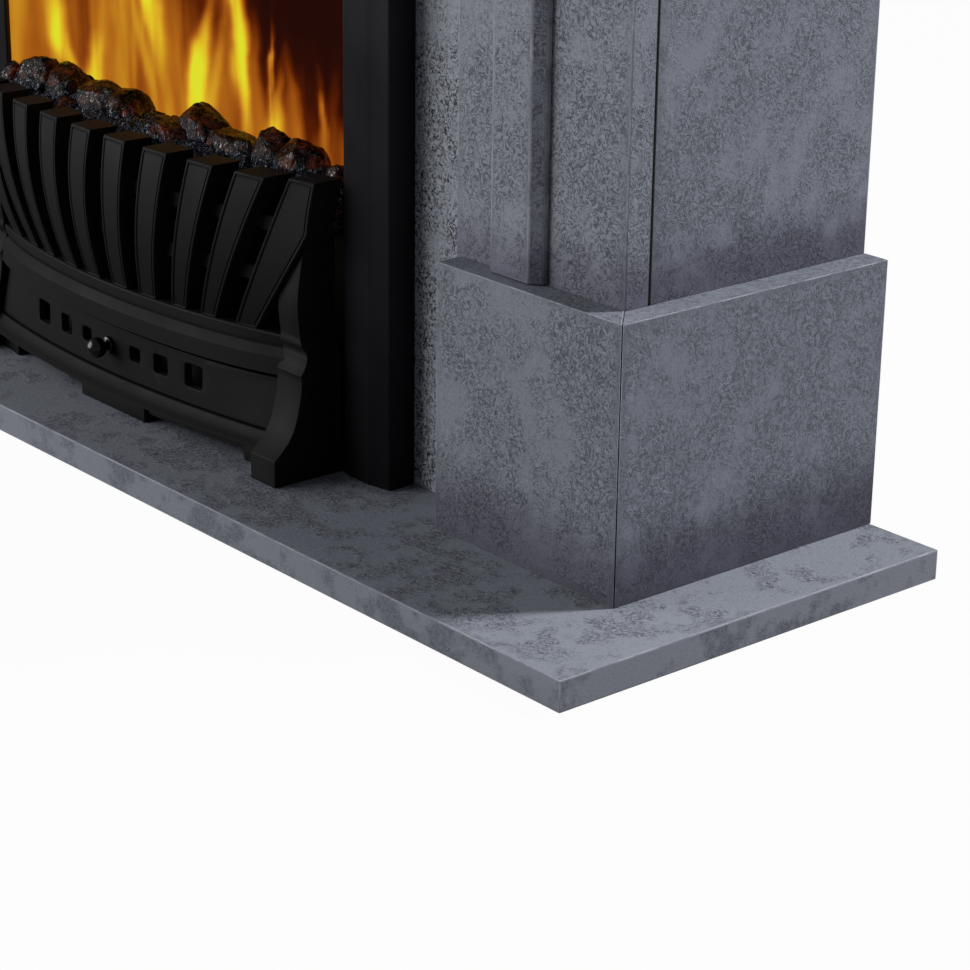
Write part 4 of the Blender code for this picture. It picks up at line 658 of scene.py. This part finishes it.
def basket_bar(number, side):
    """One bar: a raised rim round a thin groove and a flush field, its long sides following the bow"""
    sill_low, sill_high, top_low, top_high, swell = (value * MM for value in BARS[number])
    leaf = number == len(BARS) - 1
    bm = bmesh.new()
    bmesh.ops.create_grid(bm, x_segments=1, y_segments=BAR_LEVELS, size=0.5)
    root = SILL_RISE - 1 * MM
    for vert in bm.verts:
        u, v = vert.co.x + 0.5, vert.co.y + 0.5
        rise = root + (BAR_RISE - root) * v
        low = bar_edge(sill_low, top_low, swell, rise)
        high = bar_edge(sill_high, top_high, swell, rise)
        vert.co = (side * (low + (high - low) * u), 0, rise)
    if side < 0:
        bmesh.ops.reverse_faces(bm, faces=bm.faces)
    bm.normal_update()
    faces = bm.faces[:]
    for inset, depth in BAR_INSETS:
        bmesh.ops.inset_region(bm, faces=faces, thickness=inset * MM, depth=depth * MM, use_boundary=True,
                               use_even_offset=True)
    run = bmesh.ops.extrude_edge_only(bm, edges=open_edges(bm))
    bmesh.ops.translate(bm, vec=(0, BAR_DEPTH, 0), verts=new_verts(run))
    bmesh.ops.holes_fill(bm, edges=open_edges(bm))
    rounds = [e for e in bm.edges if len(e.link_faces) == 2 and abs(e.verts[0].co.y) < 1e-6
              and abs(e.verts[1].co.y) < 1e-6 and e.calc_face_angle(0) > 1.0]
    round_off(bm, rounds, 0.7 * MM, 3)
    for vert in bm.verts:
        x, y, rise = vert.co
        lean = LEAF_SETBACK * max((rise - SILL_RISE) / (BAR_RISE - SILL_RISE), 0.0) ** 1.5 if leaf else 0.0
        vert.co = (x, y + bar_front(abs(x), rise) + lean, SLAB_TOP + rise)
    cast("basket_bar_%s_%d" % ("left" if side < 0 else "right", number + 1), bm)


def waisted(rise):
    """How far an end post has drawn in at a height: nothing below its collar, all of it above"""
    return min(max((rise - COLLAR[0]) / (COLLAR[1] - COLLAR[0]), 0.0), 1.0)


def basket():
    """The cast fire basket: two beams, sill, cross rails, skirt feet, bars and end posts"""
    half = POST_INNER + BEAM_TUCK
    for name, section, stands_for in (("basket_sill", UPPER_BEAM, ("fret",)),
                                      ("basket_foot_rail", LOWER_BEAM, ())):
        drawn_across(name, [(BAR_FACE + y * MM, rise * MM) for y, rise in section], half, stands_for, 14)
    for name, top in RAIL_TOPS:
        front = bar_front(0, top) + RAIL_SETBACK
        back, foot = front + RAIL_DEPTH, top - RAIL_HEIGHT
        drawn_across(name, [(front, foot), (front, top - RAIL_ROUND), (front + RAIL_ROUND, top),
                            (back, top), (back, foot)], half)
    for label, low, high in (("left", -half, -SKIRT_IN), ("middle", -SKIRT_MIDDLE, SKIRT_MIDDLE),
                             ("right", SKIRT_IN, half)):
        bm = bmesh.new()
        span(bm, (low, SKIRT_FRONT, SLAB_TOP + FOOT_CLEAR), (high, SKIRT_BACK, SLAB_TOP + SKIRT_TOP))
        round_off(bm, bm.edges[:], 0.8 * MM)
        for vert in bm.verts:
            vert.co.y += bow(vert.co.x, vert.co.z - SLAB_TOP)
        cast("basket_skirt_" + label, bm)
    outline = round_line([(value * MM, rise * MM) for value, rise in POST_SIDE], 6, POST_CORNERS)
    side_view = [(TRIM_FRONT - BASKET_REACH + short + POST_FALL * waisted(rise),
                  SLAB_TOP + FOOT_CLEAR + rise) for short, rise in outline]
    behind = (side_view[-1][1] - 4 * MM, SLAB_TOP + COLLAR[1], SLAB_TOP + COLLAR[0], side_view[0][1])
    side_view += [(FRET_BACK, z) for z in behind]
    for label, side in (("left", -1), ("right", 1)):
        bm = bmesh.new()
        ring = [bm.verts.new((side * POST_INNER, y, z)) for y, z in side_view]
        draw_out(bm, [bm.faces.new(ring)], (side * (FRET_HALF - POST_INNER), 0, 0))
        for vert in bm.verts:
            if abs(vert.co.x) > POST_INNER + 1 * MM:
                vert.co.x -= side * (FRET_HALF - POST_WAIST) * waisted(vert.co.z - SLAB_TOP)
        round_off(bm, [e for e in bm.edges if e.calc_face_angle(0) > math.radians(40)], 0.5 * MM)
        cast("basket_post_" + label, bm)
        for number in range(len(BARS)):
            basket_bar(number, side)


# Windows of the ash pan's front in mm: distance from the middle, width and height
PAN_WINDOWS = ((31.0, 12.8, 11.0), (61.0, 15.7, 14.1), (96.6, 18.3, 16.8))
WINDOW_RISE = 48 * MM
WINDOW_CORNER = 2.6 * MM
PAN_THICK = 6 * MM
PAN_FACE = BAR_FACE + 3.5 * MM
PAN_EDGES = (27.8 * MM, 63.2 * MM)
PAN_HALF = POST_INNER - 1 * MM


def rounded_window(bm, middle, rise, wide, tall):
    """Edge loop of a window with rounded corners"""
    points = []
    for turn, (sx, sz) in enumerate(((1, 1), (-1, 1), (-1, -1), (1, -1))):
        for step in range(5):
            angle = math.radians(90 * turn + 22.5 * step)
            x = middle + sx * (wide / 2 - WINDOW_CORNER) + WINDOW_CORNER * math.cos(angle)
            z = SLAB_TOP + rise + sz * (tall / 2 - WINDOW_CORNER) + WINDOW_CORNER * math.sin(angle)
            points.append((x, PAN_FACE, z))
    ring = [bm.verts.new(point) for point in points]
    return [bm.edges.new((ring[n], ring[(n + 1) % len(ring)])) for n in range(len(ring))]


def pan_front():
    """Cast front of the ash pan: a bowed plate with six rounded windows"""
    bm = bmesh.new()
    corners = [bm.verts.new((x, PAN_FACE, SLAB_TOP + rise)) for x, rise in
               ((-PAN_HALF, PAN_EDGES[0]), (PAN_HALF, PAN_EDGES[0]),
                (PAN_HALF, PAN_EDGES[1]), (-PAN_HALF, PAN_EDGES[1]))]
    edges = [bm.edges.new((corners[n], corners[(n + 1) % 4])) for n in range(4)]
    for side in (-1, 1):
        for middle, wide, tall in PAN_WINDOWS:
            edges += rounded_window(bm, side * middle * MM, WINDOW_RISE, wide * MM, tall * MM)
    bmesh.ops.triangle_fill(bm, use_beauty=True, edges=edges)
    draw_out(bm, bm.faces[:], (0, PAN_THICK, 0))
    bmesh.ops.recalc_face_normals(bm, faces=bm.faces)
    arrises = [e for e in bm.edges if len(e.link_faces) == 2 and e.calc_face_angle(0) > math.radians(60)
               and e.verts[0].co.y < PAN_FACE + 1e-6 and e.verts[1].co.y < PAN_FACE + 1e-6]
    round_off(bm, arrises, 0.5 * MM)
    bend_across(bm, PAN_HALF)
    cast("pan_front_cast", bm, ("ash_pan_front",), "ash_pan", 25)


# Section of the pressed trim: mm outward from the opening, and y in mm
TRIM_SECTION = ((1.4, -46.0), (0.4, -49.6), (0.9, -50.5), (2.2, -50.8), (26.9, -51.9), (27.6, -51.8),
                (28.4, -51.5), (44.6, -48.6), (45.5, -47.9), (45.8, -46.8), (45.2, -27.0))
OPENING_HALF = 209 * MM
OPENING_TOP = 565.3 * MM
# The band above the opening is broader than the bands beside it
TRIM_TOP_STRETCH = 57.0 / 45.8
TRIM_SHEET = 1.2 * MM


def pressed_trim():
    """Pressed steel trim: an inner band, a fold, an outer band that falls back, and a side return"""
    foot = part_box("trim_frame")[0][Z]
    bm = bmesh.new()
    line = [bm.verts.new((-OPENING_HALF - d * MM, y * MM, foot)) for d, y in TRIM_SECTION]
    edges = [bm.edges.new(pair) for pair in zip(line, line[1:])]
    reach = [d * MM for d, _ in TRIM_SECTION]
    stops = ([(-OPENING_HALF - d, OPENING_TOP + d * TRIM_TOP_STRETCH) for d in reach],
             [(OPENING_HALF + d, OPENING_TOP + d * TRIM_TOP_STRETCH) for d in reach],
             [(OPENING_HALF + d, foot) for d in reach])
    for stop in stops:
        run = bmesh.ops.extrude_edge_only(bm, edges=edges)
        order = sorted(new_verts(run), key=lambda v: min(range(len(line)),
                                                         key=lambda i: (line[i].co - v.co).length))
        for vert, (x, z) in zip(order, stop):
            vert.co.x, vert.co.z = x, z
        line = order
        edges = [g for g in run["geom"] if isinstance(g, bmesh.types.BMEdge)]
    made = piece("trim_frame_pressed", bm, (SHEET_BLACK,), ("trim_frame",), sharp=25)
    wall = made.modifiers.new("sheet", "SOLIDIFY")
    wall.thickness = TRIM_SHEET
    wall.offset = -1.0


# Flame tongues on the screen in mm: distance along it from the middle and height, then half width and warmth
TONGUES = (
    ((-207, 310, 9, 0.50), (-202, 282, 9, 0.78), (-196, 258, 9, 0.94), (-190, 240, 8, 1.0),
     (-180, 222, 10, 0.98)),
    ((-226, 312, 11, 0.50), (-224, 280, 12, 0.62), (-222, 240, 12, 0.60)),
    ((-140, 345, 16, 0.46), (-141, 300, 16, 0.54), (-142, 262, 13, 0.60), (-147, 240, 10, 0.84),
     (-152, 218, 13, 1.0)),
    ((-108, 318, 12, 0.56), (-110, 276, 12, 0.64), (-108, 225, 12, 0.60)),
    ((-84, 350, 17, 0.76), (-78, 306, 19, 0.86), (-68, 274, 15, 0.84), (-58, 250, 11, 0.74),
     (-52, 226, 8, 0.64)),
    ((-98, 300, 7, 0.60), (-88, 266, 8, 0.64), (-72, 236, 9, 0.62)),
    ((2, 298, 5, 0.42), (-3, 284, 8, 0.66), (-7, 268, 11, 0.88), (-11, 252, 13, 1.05), (-14, 228, 13, 1.10)),
    ((17, 286, 4, 0.42), (15, 268, 6, 0.60), (10, 248, 8, 0.70), (3, 230, 9, 0.78)),
    ((22, 350, 8, 0.60), (29, 322, 10, 0.76), (36, 298, 12, 0.88), (42, 276, 12, 0.98), (43, 256, 11, 0.94),
     (46, 236, 9, 0.74), (47, 217, 9, 0.62)),
    ((58, 290, 6, 0.34), (59, 268, 8, 0.50), (60, 236, 9, 0.56)),
    ((79, 284, 2.5, 0.40), (79, 276, 3.5, 0.72), (78, 264, 3.5, 0.56)),
    ((87, 256, 5, 0.44), (84, 244, 7, 0.66), (78, 226, 10, 0.92)),
    ((99, 270, 6, 0.26), (102, 254, 8, 0.38), (104, 228, 9, 0.50)),
    ((133, 264, 4, 0.28), (134, 252, 4.5, 0.60), (136, 240, 5, 0.56), (138, 222, 7, 0.50)),
    ((150, 270, 9, 0.16), (146, 252, 9, 0.26), (150, 226, 12, 0.38)),
    ((172, 258, 7, 0.22), (176, 240, 8, 0.40), (174, 220, 10, 0.50)),
    ((200, 256, 8, 0.20), (198, 238, 9, 0.36), (194, 220, 10, 0.46)),
)
# Blurred glow behind the tongues in mm: middle along the screen, height, half width, half height and warmth
GLOWS = ((-200, 250, 70, 120, 0.50), (-120, 250, 60, 110, 0.52), (-50, 246, 56, 90, 0.52),
         (20, 238, 52, 66, 0.50), (84, 222, 52, 40, 0.40), (146, 212, 62, 34, 0.36),
         (200, 208, 50, 28, 0.32), (-60, 340, 90, 80, 0.34), (10, 350, 46, 80, 0.30),
         (-170, 340, 90, 90, 0.36), (110, 258, 40, 40, 0.16))
# The screen: half its flat middle, how far its wings come forward and reach, its sheet and its mesh
FLAT_HALF, WING_DEPTH, WING_END = 187.0 * MM, 31.0 * MM, 218.8 * MM
SCREEN_SETBACK, SCREEN_SHEET = 3 * MM, 2.4 * MM
SCREEN_COLUMNS, SCREEN_ROWS = 154, 116
# The flames waver: how far sideways in mm, and the size of the waves along and up in mm
WAVER, WAVE_ALONG, WAVE_UP = 5, 60, 34
# Above its top a tongue dies out over some mm, and it is not looked at beyond a reach
DYING, TOP_REACH = 16, 60


def warmth_at(along, rise):
    """Warmth of the flame picture at a point of the screen, both in mm; the flames waver on their way up"""
    along += noise.fractal(Vector((along / WAVE_ALONG, rise / WAVE_UP, 0.3)), 1.0, 2.2, 3) * WAVER
    warmth = 0.05
    for middle, height, wide, tall, strength in GLOWS:
        lift = (rise - height) / tall
        reach = ((along - middle) / wide) ** 2 + (lift * lift if rise > height else lift * lift * 0.3)
        warmth = max(warmth, strength * math.exp(-reach))
    for tongue in TONGUES:
        top, foot = tongue[0][1], tongue[-1][1]
        if rise > top + TOP_REACH:
            continue
        for (x1, z1, w1, h1), (x2, z2, w2, h2) in zip(tongue, tongue[1:]):
            if z2 <= rise <= z1 or (rise > top and z1 == top) or (rise < foot and z2 == foot):
                t = (rise - z1) / (z2 - z1)
                inside = min(max(t, 0.0), 1.0)
                wide = w1 + (w2 - w1) * inside
                strength = h1 + (h2 - h1) * inside
                fade = math.exp(-(max(rise - top, 0.0) / DYING) ** 1.5)
                off = abs(along - (x1 + (x2 - x1) * t)) / wide
                warmth += max(strength - warmth, 0.0) * math.exp(-off ** 2.6) * fade
    return min(warmth, 1.0)


def flame_screen():
    """Screen that carries the flame picture: a flat middle and two raked wings"""
    low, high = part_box("flame_screen")
    wing = math.hypot(WING_END - FLAT_HALF, WING_DEPTH)
    bm = bmesh.new()
    warmth = bm.verts.layers.float.new("warmth")
    bmesh.ops.create_grid(bm, x_segments=SCREEN_COLUMNS, y_segments=SCREEN_ROWS, size=0.5)
    for vert in bm.verts:
        along = 2 * (FLAT_HALF + wing) * vert.co.x
        rise = low[Z] + (high[Z] - low[Z]) * (vert.co.y + 0.5)
        out = max(abs(along) - FLAT_HALF, 0.0) / wing
        x = math.copysign(min(abs(along), FLAT_HALF) + out * (WING_END - FLAT_HALF), along)
        vert[warmth] = warmth_at(along / MM, rise / MM)
        vert.co = (x, high[Y] - SCREEN_SETBACK - out * WING_DEPTH, rise)
    made = piece("flame_picture_screen", bm, (FLAMES,), ("flame_screen",), sharp=180)
    wall = made.modifiers.new("screen", "SOLIDIFY")
    wall.thickness = SCREEN_SHEET
    wall.offset = -1.0 if made.data.polygons[0].normal[Y] < 0 else 1.0


# Coals in mm: x, y, height of the top, then half width, half depth and half height
LUMPS = (
    (-193, -56, 234, 13, 12, 20), (-170, -46, 241, 26, 19, 28), (-134, -45, 240, 25, 18, 28),
    (-79, -46, 237, 35, 20, 28), (-52, -44, 236, 24, 18, 28), (26, -60, 231, 30, 16, 22),
    (45, -45, 241, 28, 18, 30), (84, -48, 231, 28, 18, 22), (127, -45, 240, 22, 17, 30),
    (160, -44, 239, 26, 17, 28), (194, -42, 229, 12, 11, 17), (-130, -29, 230, 12, 9, 20),
    (-101, -29, 224, 13, 9, 16), (-44, -29, 219, 12, 9, 14), (-19, -29, 220, 12, 9, 15),
    (-8, -48, 224, 20, 16, 18), (-108, -60, 222, 18, 13, 16), (-190, -30, 226, 14, 9, 18),
    (4, -30, 216, 12, 9, 12), (66, -30, 222, 14, 9, 16), (106, -30, 220, 14, 9, 14),
    (146, -29, 224, 13, 9, 16), (180, -29, 222, 13, 9, 16),
)
LUMP_FACETS = 15
# Crust between the coals: half its width, its back and its mean height, and where its fall ends
CRUST_HALF = 198.5 * MM
CRUST_BACK = -17.5 * MM
CRUST_FRONT = -50.0 * MM
CRUST_RISE = 222 * MM
EDGE_FALL = 9 * MM
# Its swells and its grains: how far across and how high, and the bars stay this clear of it
SWELL_ACROSS, SWELL_HEIGHT, GRAIN_ACROSS, GRAIN_DEPTH = 14 * MM, 4.5 * MM, 3.2 * MM, 2.4 * MM
CRUST_CLEAR = 1 * MM


def broken_face(point, facets):
    """A point of a round lump cut back to the flat faces that it broke along"""
    for normal, reach in facets:
        over = point.dot(normal) - reach
        if over > 0:
            point = point - normal * over * 0.75
    return point


def coals():
    """Resin coals: broken lumps with smooth crowns and rough flanks"""
    for n, (x, y, top, wide, deep, tall) in enumerate(LUMPS):
        chance = random.Random(n + 11)
        facets = []
        for _ in range(LUMP_FACETS):
            normal = Vector((chance.gauss(0, 1), chance.gauss(0, 1), chance.gauss(0.3, 1))).normalized()
            facets.append((normal, chance.uniform(0.72, 0.94)))
        facets.append((Vector((chance.gauss(0, 0.22), chance.gauss(0, 0.22), 1)).normalized(), 0.76))
        bm = bmesh.new()
        crown = bm.verts.layers.float.new("crown")
        bmesh.ops.create_icosphere(bm, subdivisions=6, radius=1.0)
        shift = Vector((n * 7.3, n * 3.1, n * 5.7))
        for vert in bm.verts:
            point = broken_face(vert.co * (1 + noise.noise(vert.co * 1.3 + shift) * 0.16), facets)
            low_part = min(max((0.30 - point.z) / 0.5, 0.0), 1.0)
            wave = noise.fractal(point * 3.4 + shift, 0.9, 2.1, 3) * 0.035
            cell = noise.voronoi(point * 7.0 + shift)[0]
            wave += low_part * (noise.fractal(point * 7.0 + shift, 0.7, 2.1, 3) * 0.09 - cell[0] * 0.16)
            point = point * (1 + wave)
            vert.co = point
            vert[crown] = min(max(point.z * 1.5 - 0.05, 0.0), 1.0)
        peak = max(vert.co.z for vert in bm.verts)
        for vert in bm.verts:
            u, v, w = vert.co
            vert.co = ((x + u * wide) * MM, (y + v * deep) * MM, (top + (w - peak) * tall) * MM)
        piece("coal_%02d" % (n + 1), bm, (COAL,), ("fuel_bed",) if n == 0 else (), sharp=180)


def coal_crust():
    """Crust of grit that the coals are sunk in, closed down to the bed's foot"""
    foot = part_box("fuel_bed")[0][Z] + 0.4 * MM
    bm = bmesh.new()
    bm.verts.layers.float.new("crown")
    bmesh.ops.create_grid(bm, x_segments=360, y_segments=60, size=0.5)
    for vert in bm.verts:
        x = vert.co.x * 2 * CRUST_HALF
        front = min(bar_front(x, BAR_RISE) + BAR_DEPTH + CRUST_CLEAR, CRUST_FRONT)
        share = vert.co.y + 0.5
        y = front + (CRUST_BACK - front) * share
        lumpy = noise.fractal(Vector((x, y, 0)) / SWELL_ACROSS, 0.8, 2.1, 4) * SWELL_HEIGHT
        grain = noise.voronoi(Vector((x, y, 0.4)) / GRAIN_ACROSS)[0]
        edge = min(share, 1 - share) * 2
        rise = CRUST_RISE + lumpy * 0.8 - grain[0] * GRAIN_DEPTH - EDGE_FALL * (1 - edge) ** 2
        vert.co = (x, y, rise)
    for vert in new_verts(bmesh.ops.extrude_edge_only(bm, edges=open_edges(bm))):
        vert.co.z = foot
    bmesh.ops.holes_fill(bm, edges=open_edges(bm))
    piece("coal_crust", bm, (COAL,), sharp=180)


# Knob in mm: the pan's face behind it, the ball's radius and its middle, then radius and y of neck and flange
KNOB_FACE, KNOB_BALL, KNOB_REACH = -100.8, 7.45, 10.5
KNOB_NECK = ((3.0, -4.4), (2.9, -3.6), (3.4, -3.1), (5.9, -3.0), (6.4, -2.6), (6.5, -2.2), (6.5, 0.0),
             (2.0, 0.0), (2.0, 8.0), (0.0, 8.0))
KNOB_HEIGHT = 68.0 * MM


def pan_knob():
    """Ball knob: gloss ball, waisted neck and a flange against the pan, turned about an axis along Y"""
    ball = [(KNOB_BALL * math.sin(math.radians(a)),
             KNOB_FACE - KNOB_REACH - KNOB_BALL * math.cos(math.radians(a))) for a in range(0, 153, 8)]
    profile = ball + [(radius, KNOB_FACE + y) for radius, y in KNOB_NECK]
    bm = bmesh.new()
    line = [bm.verts.new((radius * MM, y * MM, KNOB_HEIGHT)) for radius, y in profile]
    edges = [bm.edges.new(pair) for pair in zip(line, line[1:])]
    bmesh.ops.spin(bm, geom=line + edges, cent=(0, 0, KNOB_HEIGHT), axis=(0, 1, 0), angle=2 * math.pi,
                   steps=64, use_merge=True)
    bmesh.ops.remove_doubles(bm, verts=bm.verts, dist=1e-6)
    piece("pan_knob_ball", bm, (GLOSS,), ("ash_pan_knob",), "ash_pan", sharp=50)


# CAD nodes whose shape is kept, by their material
CARRIED = (
    (SHEET_BLACK, ("casing", "back_cover", "ember_shelf", "outlet_grille", "control_panel")),
    # The ash pan's tray is painted matt black as painted shade, so that the pan's windows stand dark
    (CAST_BLACK, ("ash_pan_tray",)),
    (RUBBER, ("impeller_bush", "drum_bush", "mains_gland")),
    (STEEL, ("heater_housing", "impeller", "impeller_motor", "flame_drum", "drum_motor")),
    (ZINC, ("wall_bracket_left", "wall_bracket_right", "knob_nut", "pan_runner_left", "pan_runner_right")),
    (BATTEN_WOOD, ("corner_cleat_left", "corner_cleat_right")),
    (RAIL_WOOD, ("rear_rail_top", "rear_rail_foot")),
    (GLOSS, ("thermostat_knob", "rocker_switch_1", "rocker_switch_2", "rocker_switch_3")),
    (LAMP_WHITE, ("lamp_strip",)),
    (IVORY, ("thermostat_body",)),
    (CERAMIC, ("heating_element",)),
)


def carried_nodes():
    """Finished materials on the CAD nodes whose shape is kept"""
    for finish, nodes in CARRIED:
        for node in nodes:
            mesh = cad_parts[node].data
            mesh.materials.clear()
            mesh.materials.append(finish)


# Lamps: place, aim, side and watts. The world lights the part a little, and is white where it is seen
LAMPS = (("key", (1.62, 1.90, 2.30), (0.45, -0.05, 0.1), 0.4, 130.0),
         ("front fill", (-1.9, -2.5, 1.1), (0.2, 0.0, 0.2), 3.0, 116.0))
AIR_LIGHT = 0.14
# Share of white in what the camera sees of the floor; the rest keeps the object's shadow
FLOOR_WHITE = 0.97


def studio():
    """Pale floor, a white world, a key softbox high at the right and back, and a low fill in front"""
    bm = bmesh.new()
    bmesh.ops.create_grid(bm, x_segments=1, y_segments=1, size=6.0)
    mesh = bpy.data.meshes.new("floor")
    bm.to_mesh(mesh)
    bm.free()
    floor = shown("floor", mesh)
    white = bpy.data.materials.new("white floor")
    put = emptied(white)
    matt = put("BsdfDiffuse", {"Color": linear("#8c8c90")})[0]
    seen = put("Emission", {"Color": (1.0, 1.0, 1.0, 1.0), "Strength": 1.0})[0]
    camera_ray = put("LightPath")["Is Camera Ray"]
    share = put("Math", (camera_ray, FLOOR_WHITE), operation="MULTIPLY")[0]
    mixed = put("MixShader", (share, matt, seen))[0]
    put("OutputMaterial", {"Surface": mixed})
    mesh.materials.append(white)

    world = bpy.data.worlds.new("studio")
    bpy.context.scene.world = world
    put = emptied(world)
    path = put("LightPath")
    seen = put("Math", (path["Is Camera Ray"], path["Is Transmission Ray"]), operation="MAXIMUM")[0]
    strength = put("MapRange", (seen, 0.0, 1.0, AIR_LIGHT, 1.0))[0]
    back = put("Background", {"Color": (1.0, 1.0, 1.0, 1.0), "Strength": strength})[0]
    put("OutputWorld", {"Surface": back})

    for name, place, aim, size, power in LAMPS:
        lamp = bpy.data.lights.new(name, "AREA")
        lamp.shape = "SQUARE"
        lamp.size = size
        lamp.energy = power
        held = shown(name, lamp)
        held.location = place
        held.rotation_euler = (Vector(aim) - Vector(place)).to_track_quat("-Z", "Y").to_euler()


# The photograph's view, solved from its straight edges: turn, tilt and roll in degrees, place, lens in mm
VIEW_ANGLES = (49.71, 20.56, -0.746)
VIEW_PLACE = (1.580, -1.089, 0.657)
SENSOR, LENS = 36.0, 101.06


def camera():
    """The photograph's own view: its lens, place and a slight roll"""
    turn, tilt, roll = (math.radians(a) for a in VIEW_ANGLES)
    lens = bpy.data.cameras.new("photograph view")
    lens.sensor_width = SENSOR
    lens.lens = LENS
    held = shown("photograph view", lens)
    held.matrix_world = (Matrix.Translation(VIEW_PLACE) @ Matrix.Rotation(turn, 4, "Z")
                         @ Matrix.Rotation(math.pi / 2 - tilt, 4, "X") @ Matrix.Rotation(-roll, 4, "Z"))
    bpy.context.scene.camera = held


bpy.context.scene.view_settings.view_transform = "Standard"
camera()
coated_boards()
for strip in ("pilaster_strip_left", "pilaster_strip_right"):
    moulded_strip(strip, Z)
moulded_strip("frieze_strip", X)
back_panel()
pressed_trim()
basket()
pan_knob()
pan_front()
flame_screen()
coals()
coal_crust()
carried_nodes()
studio()
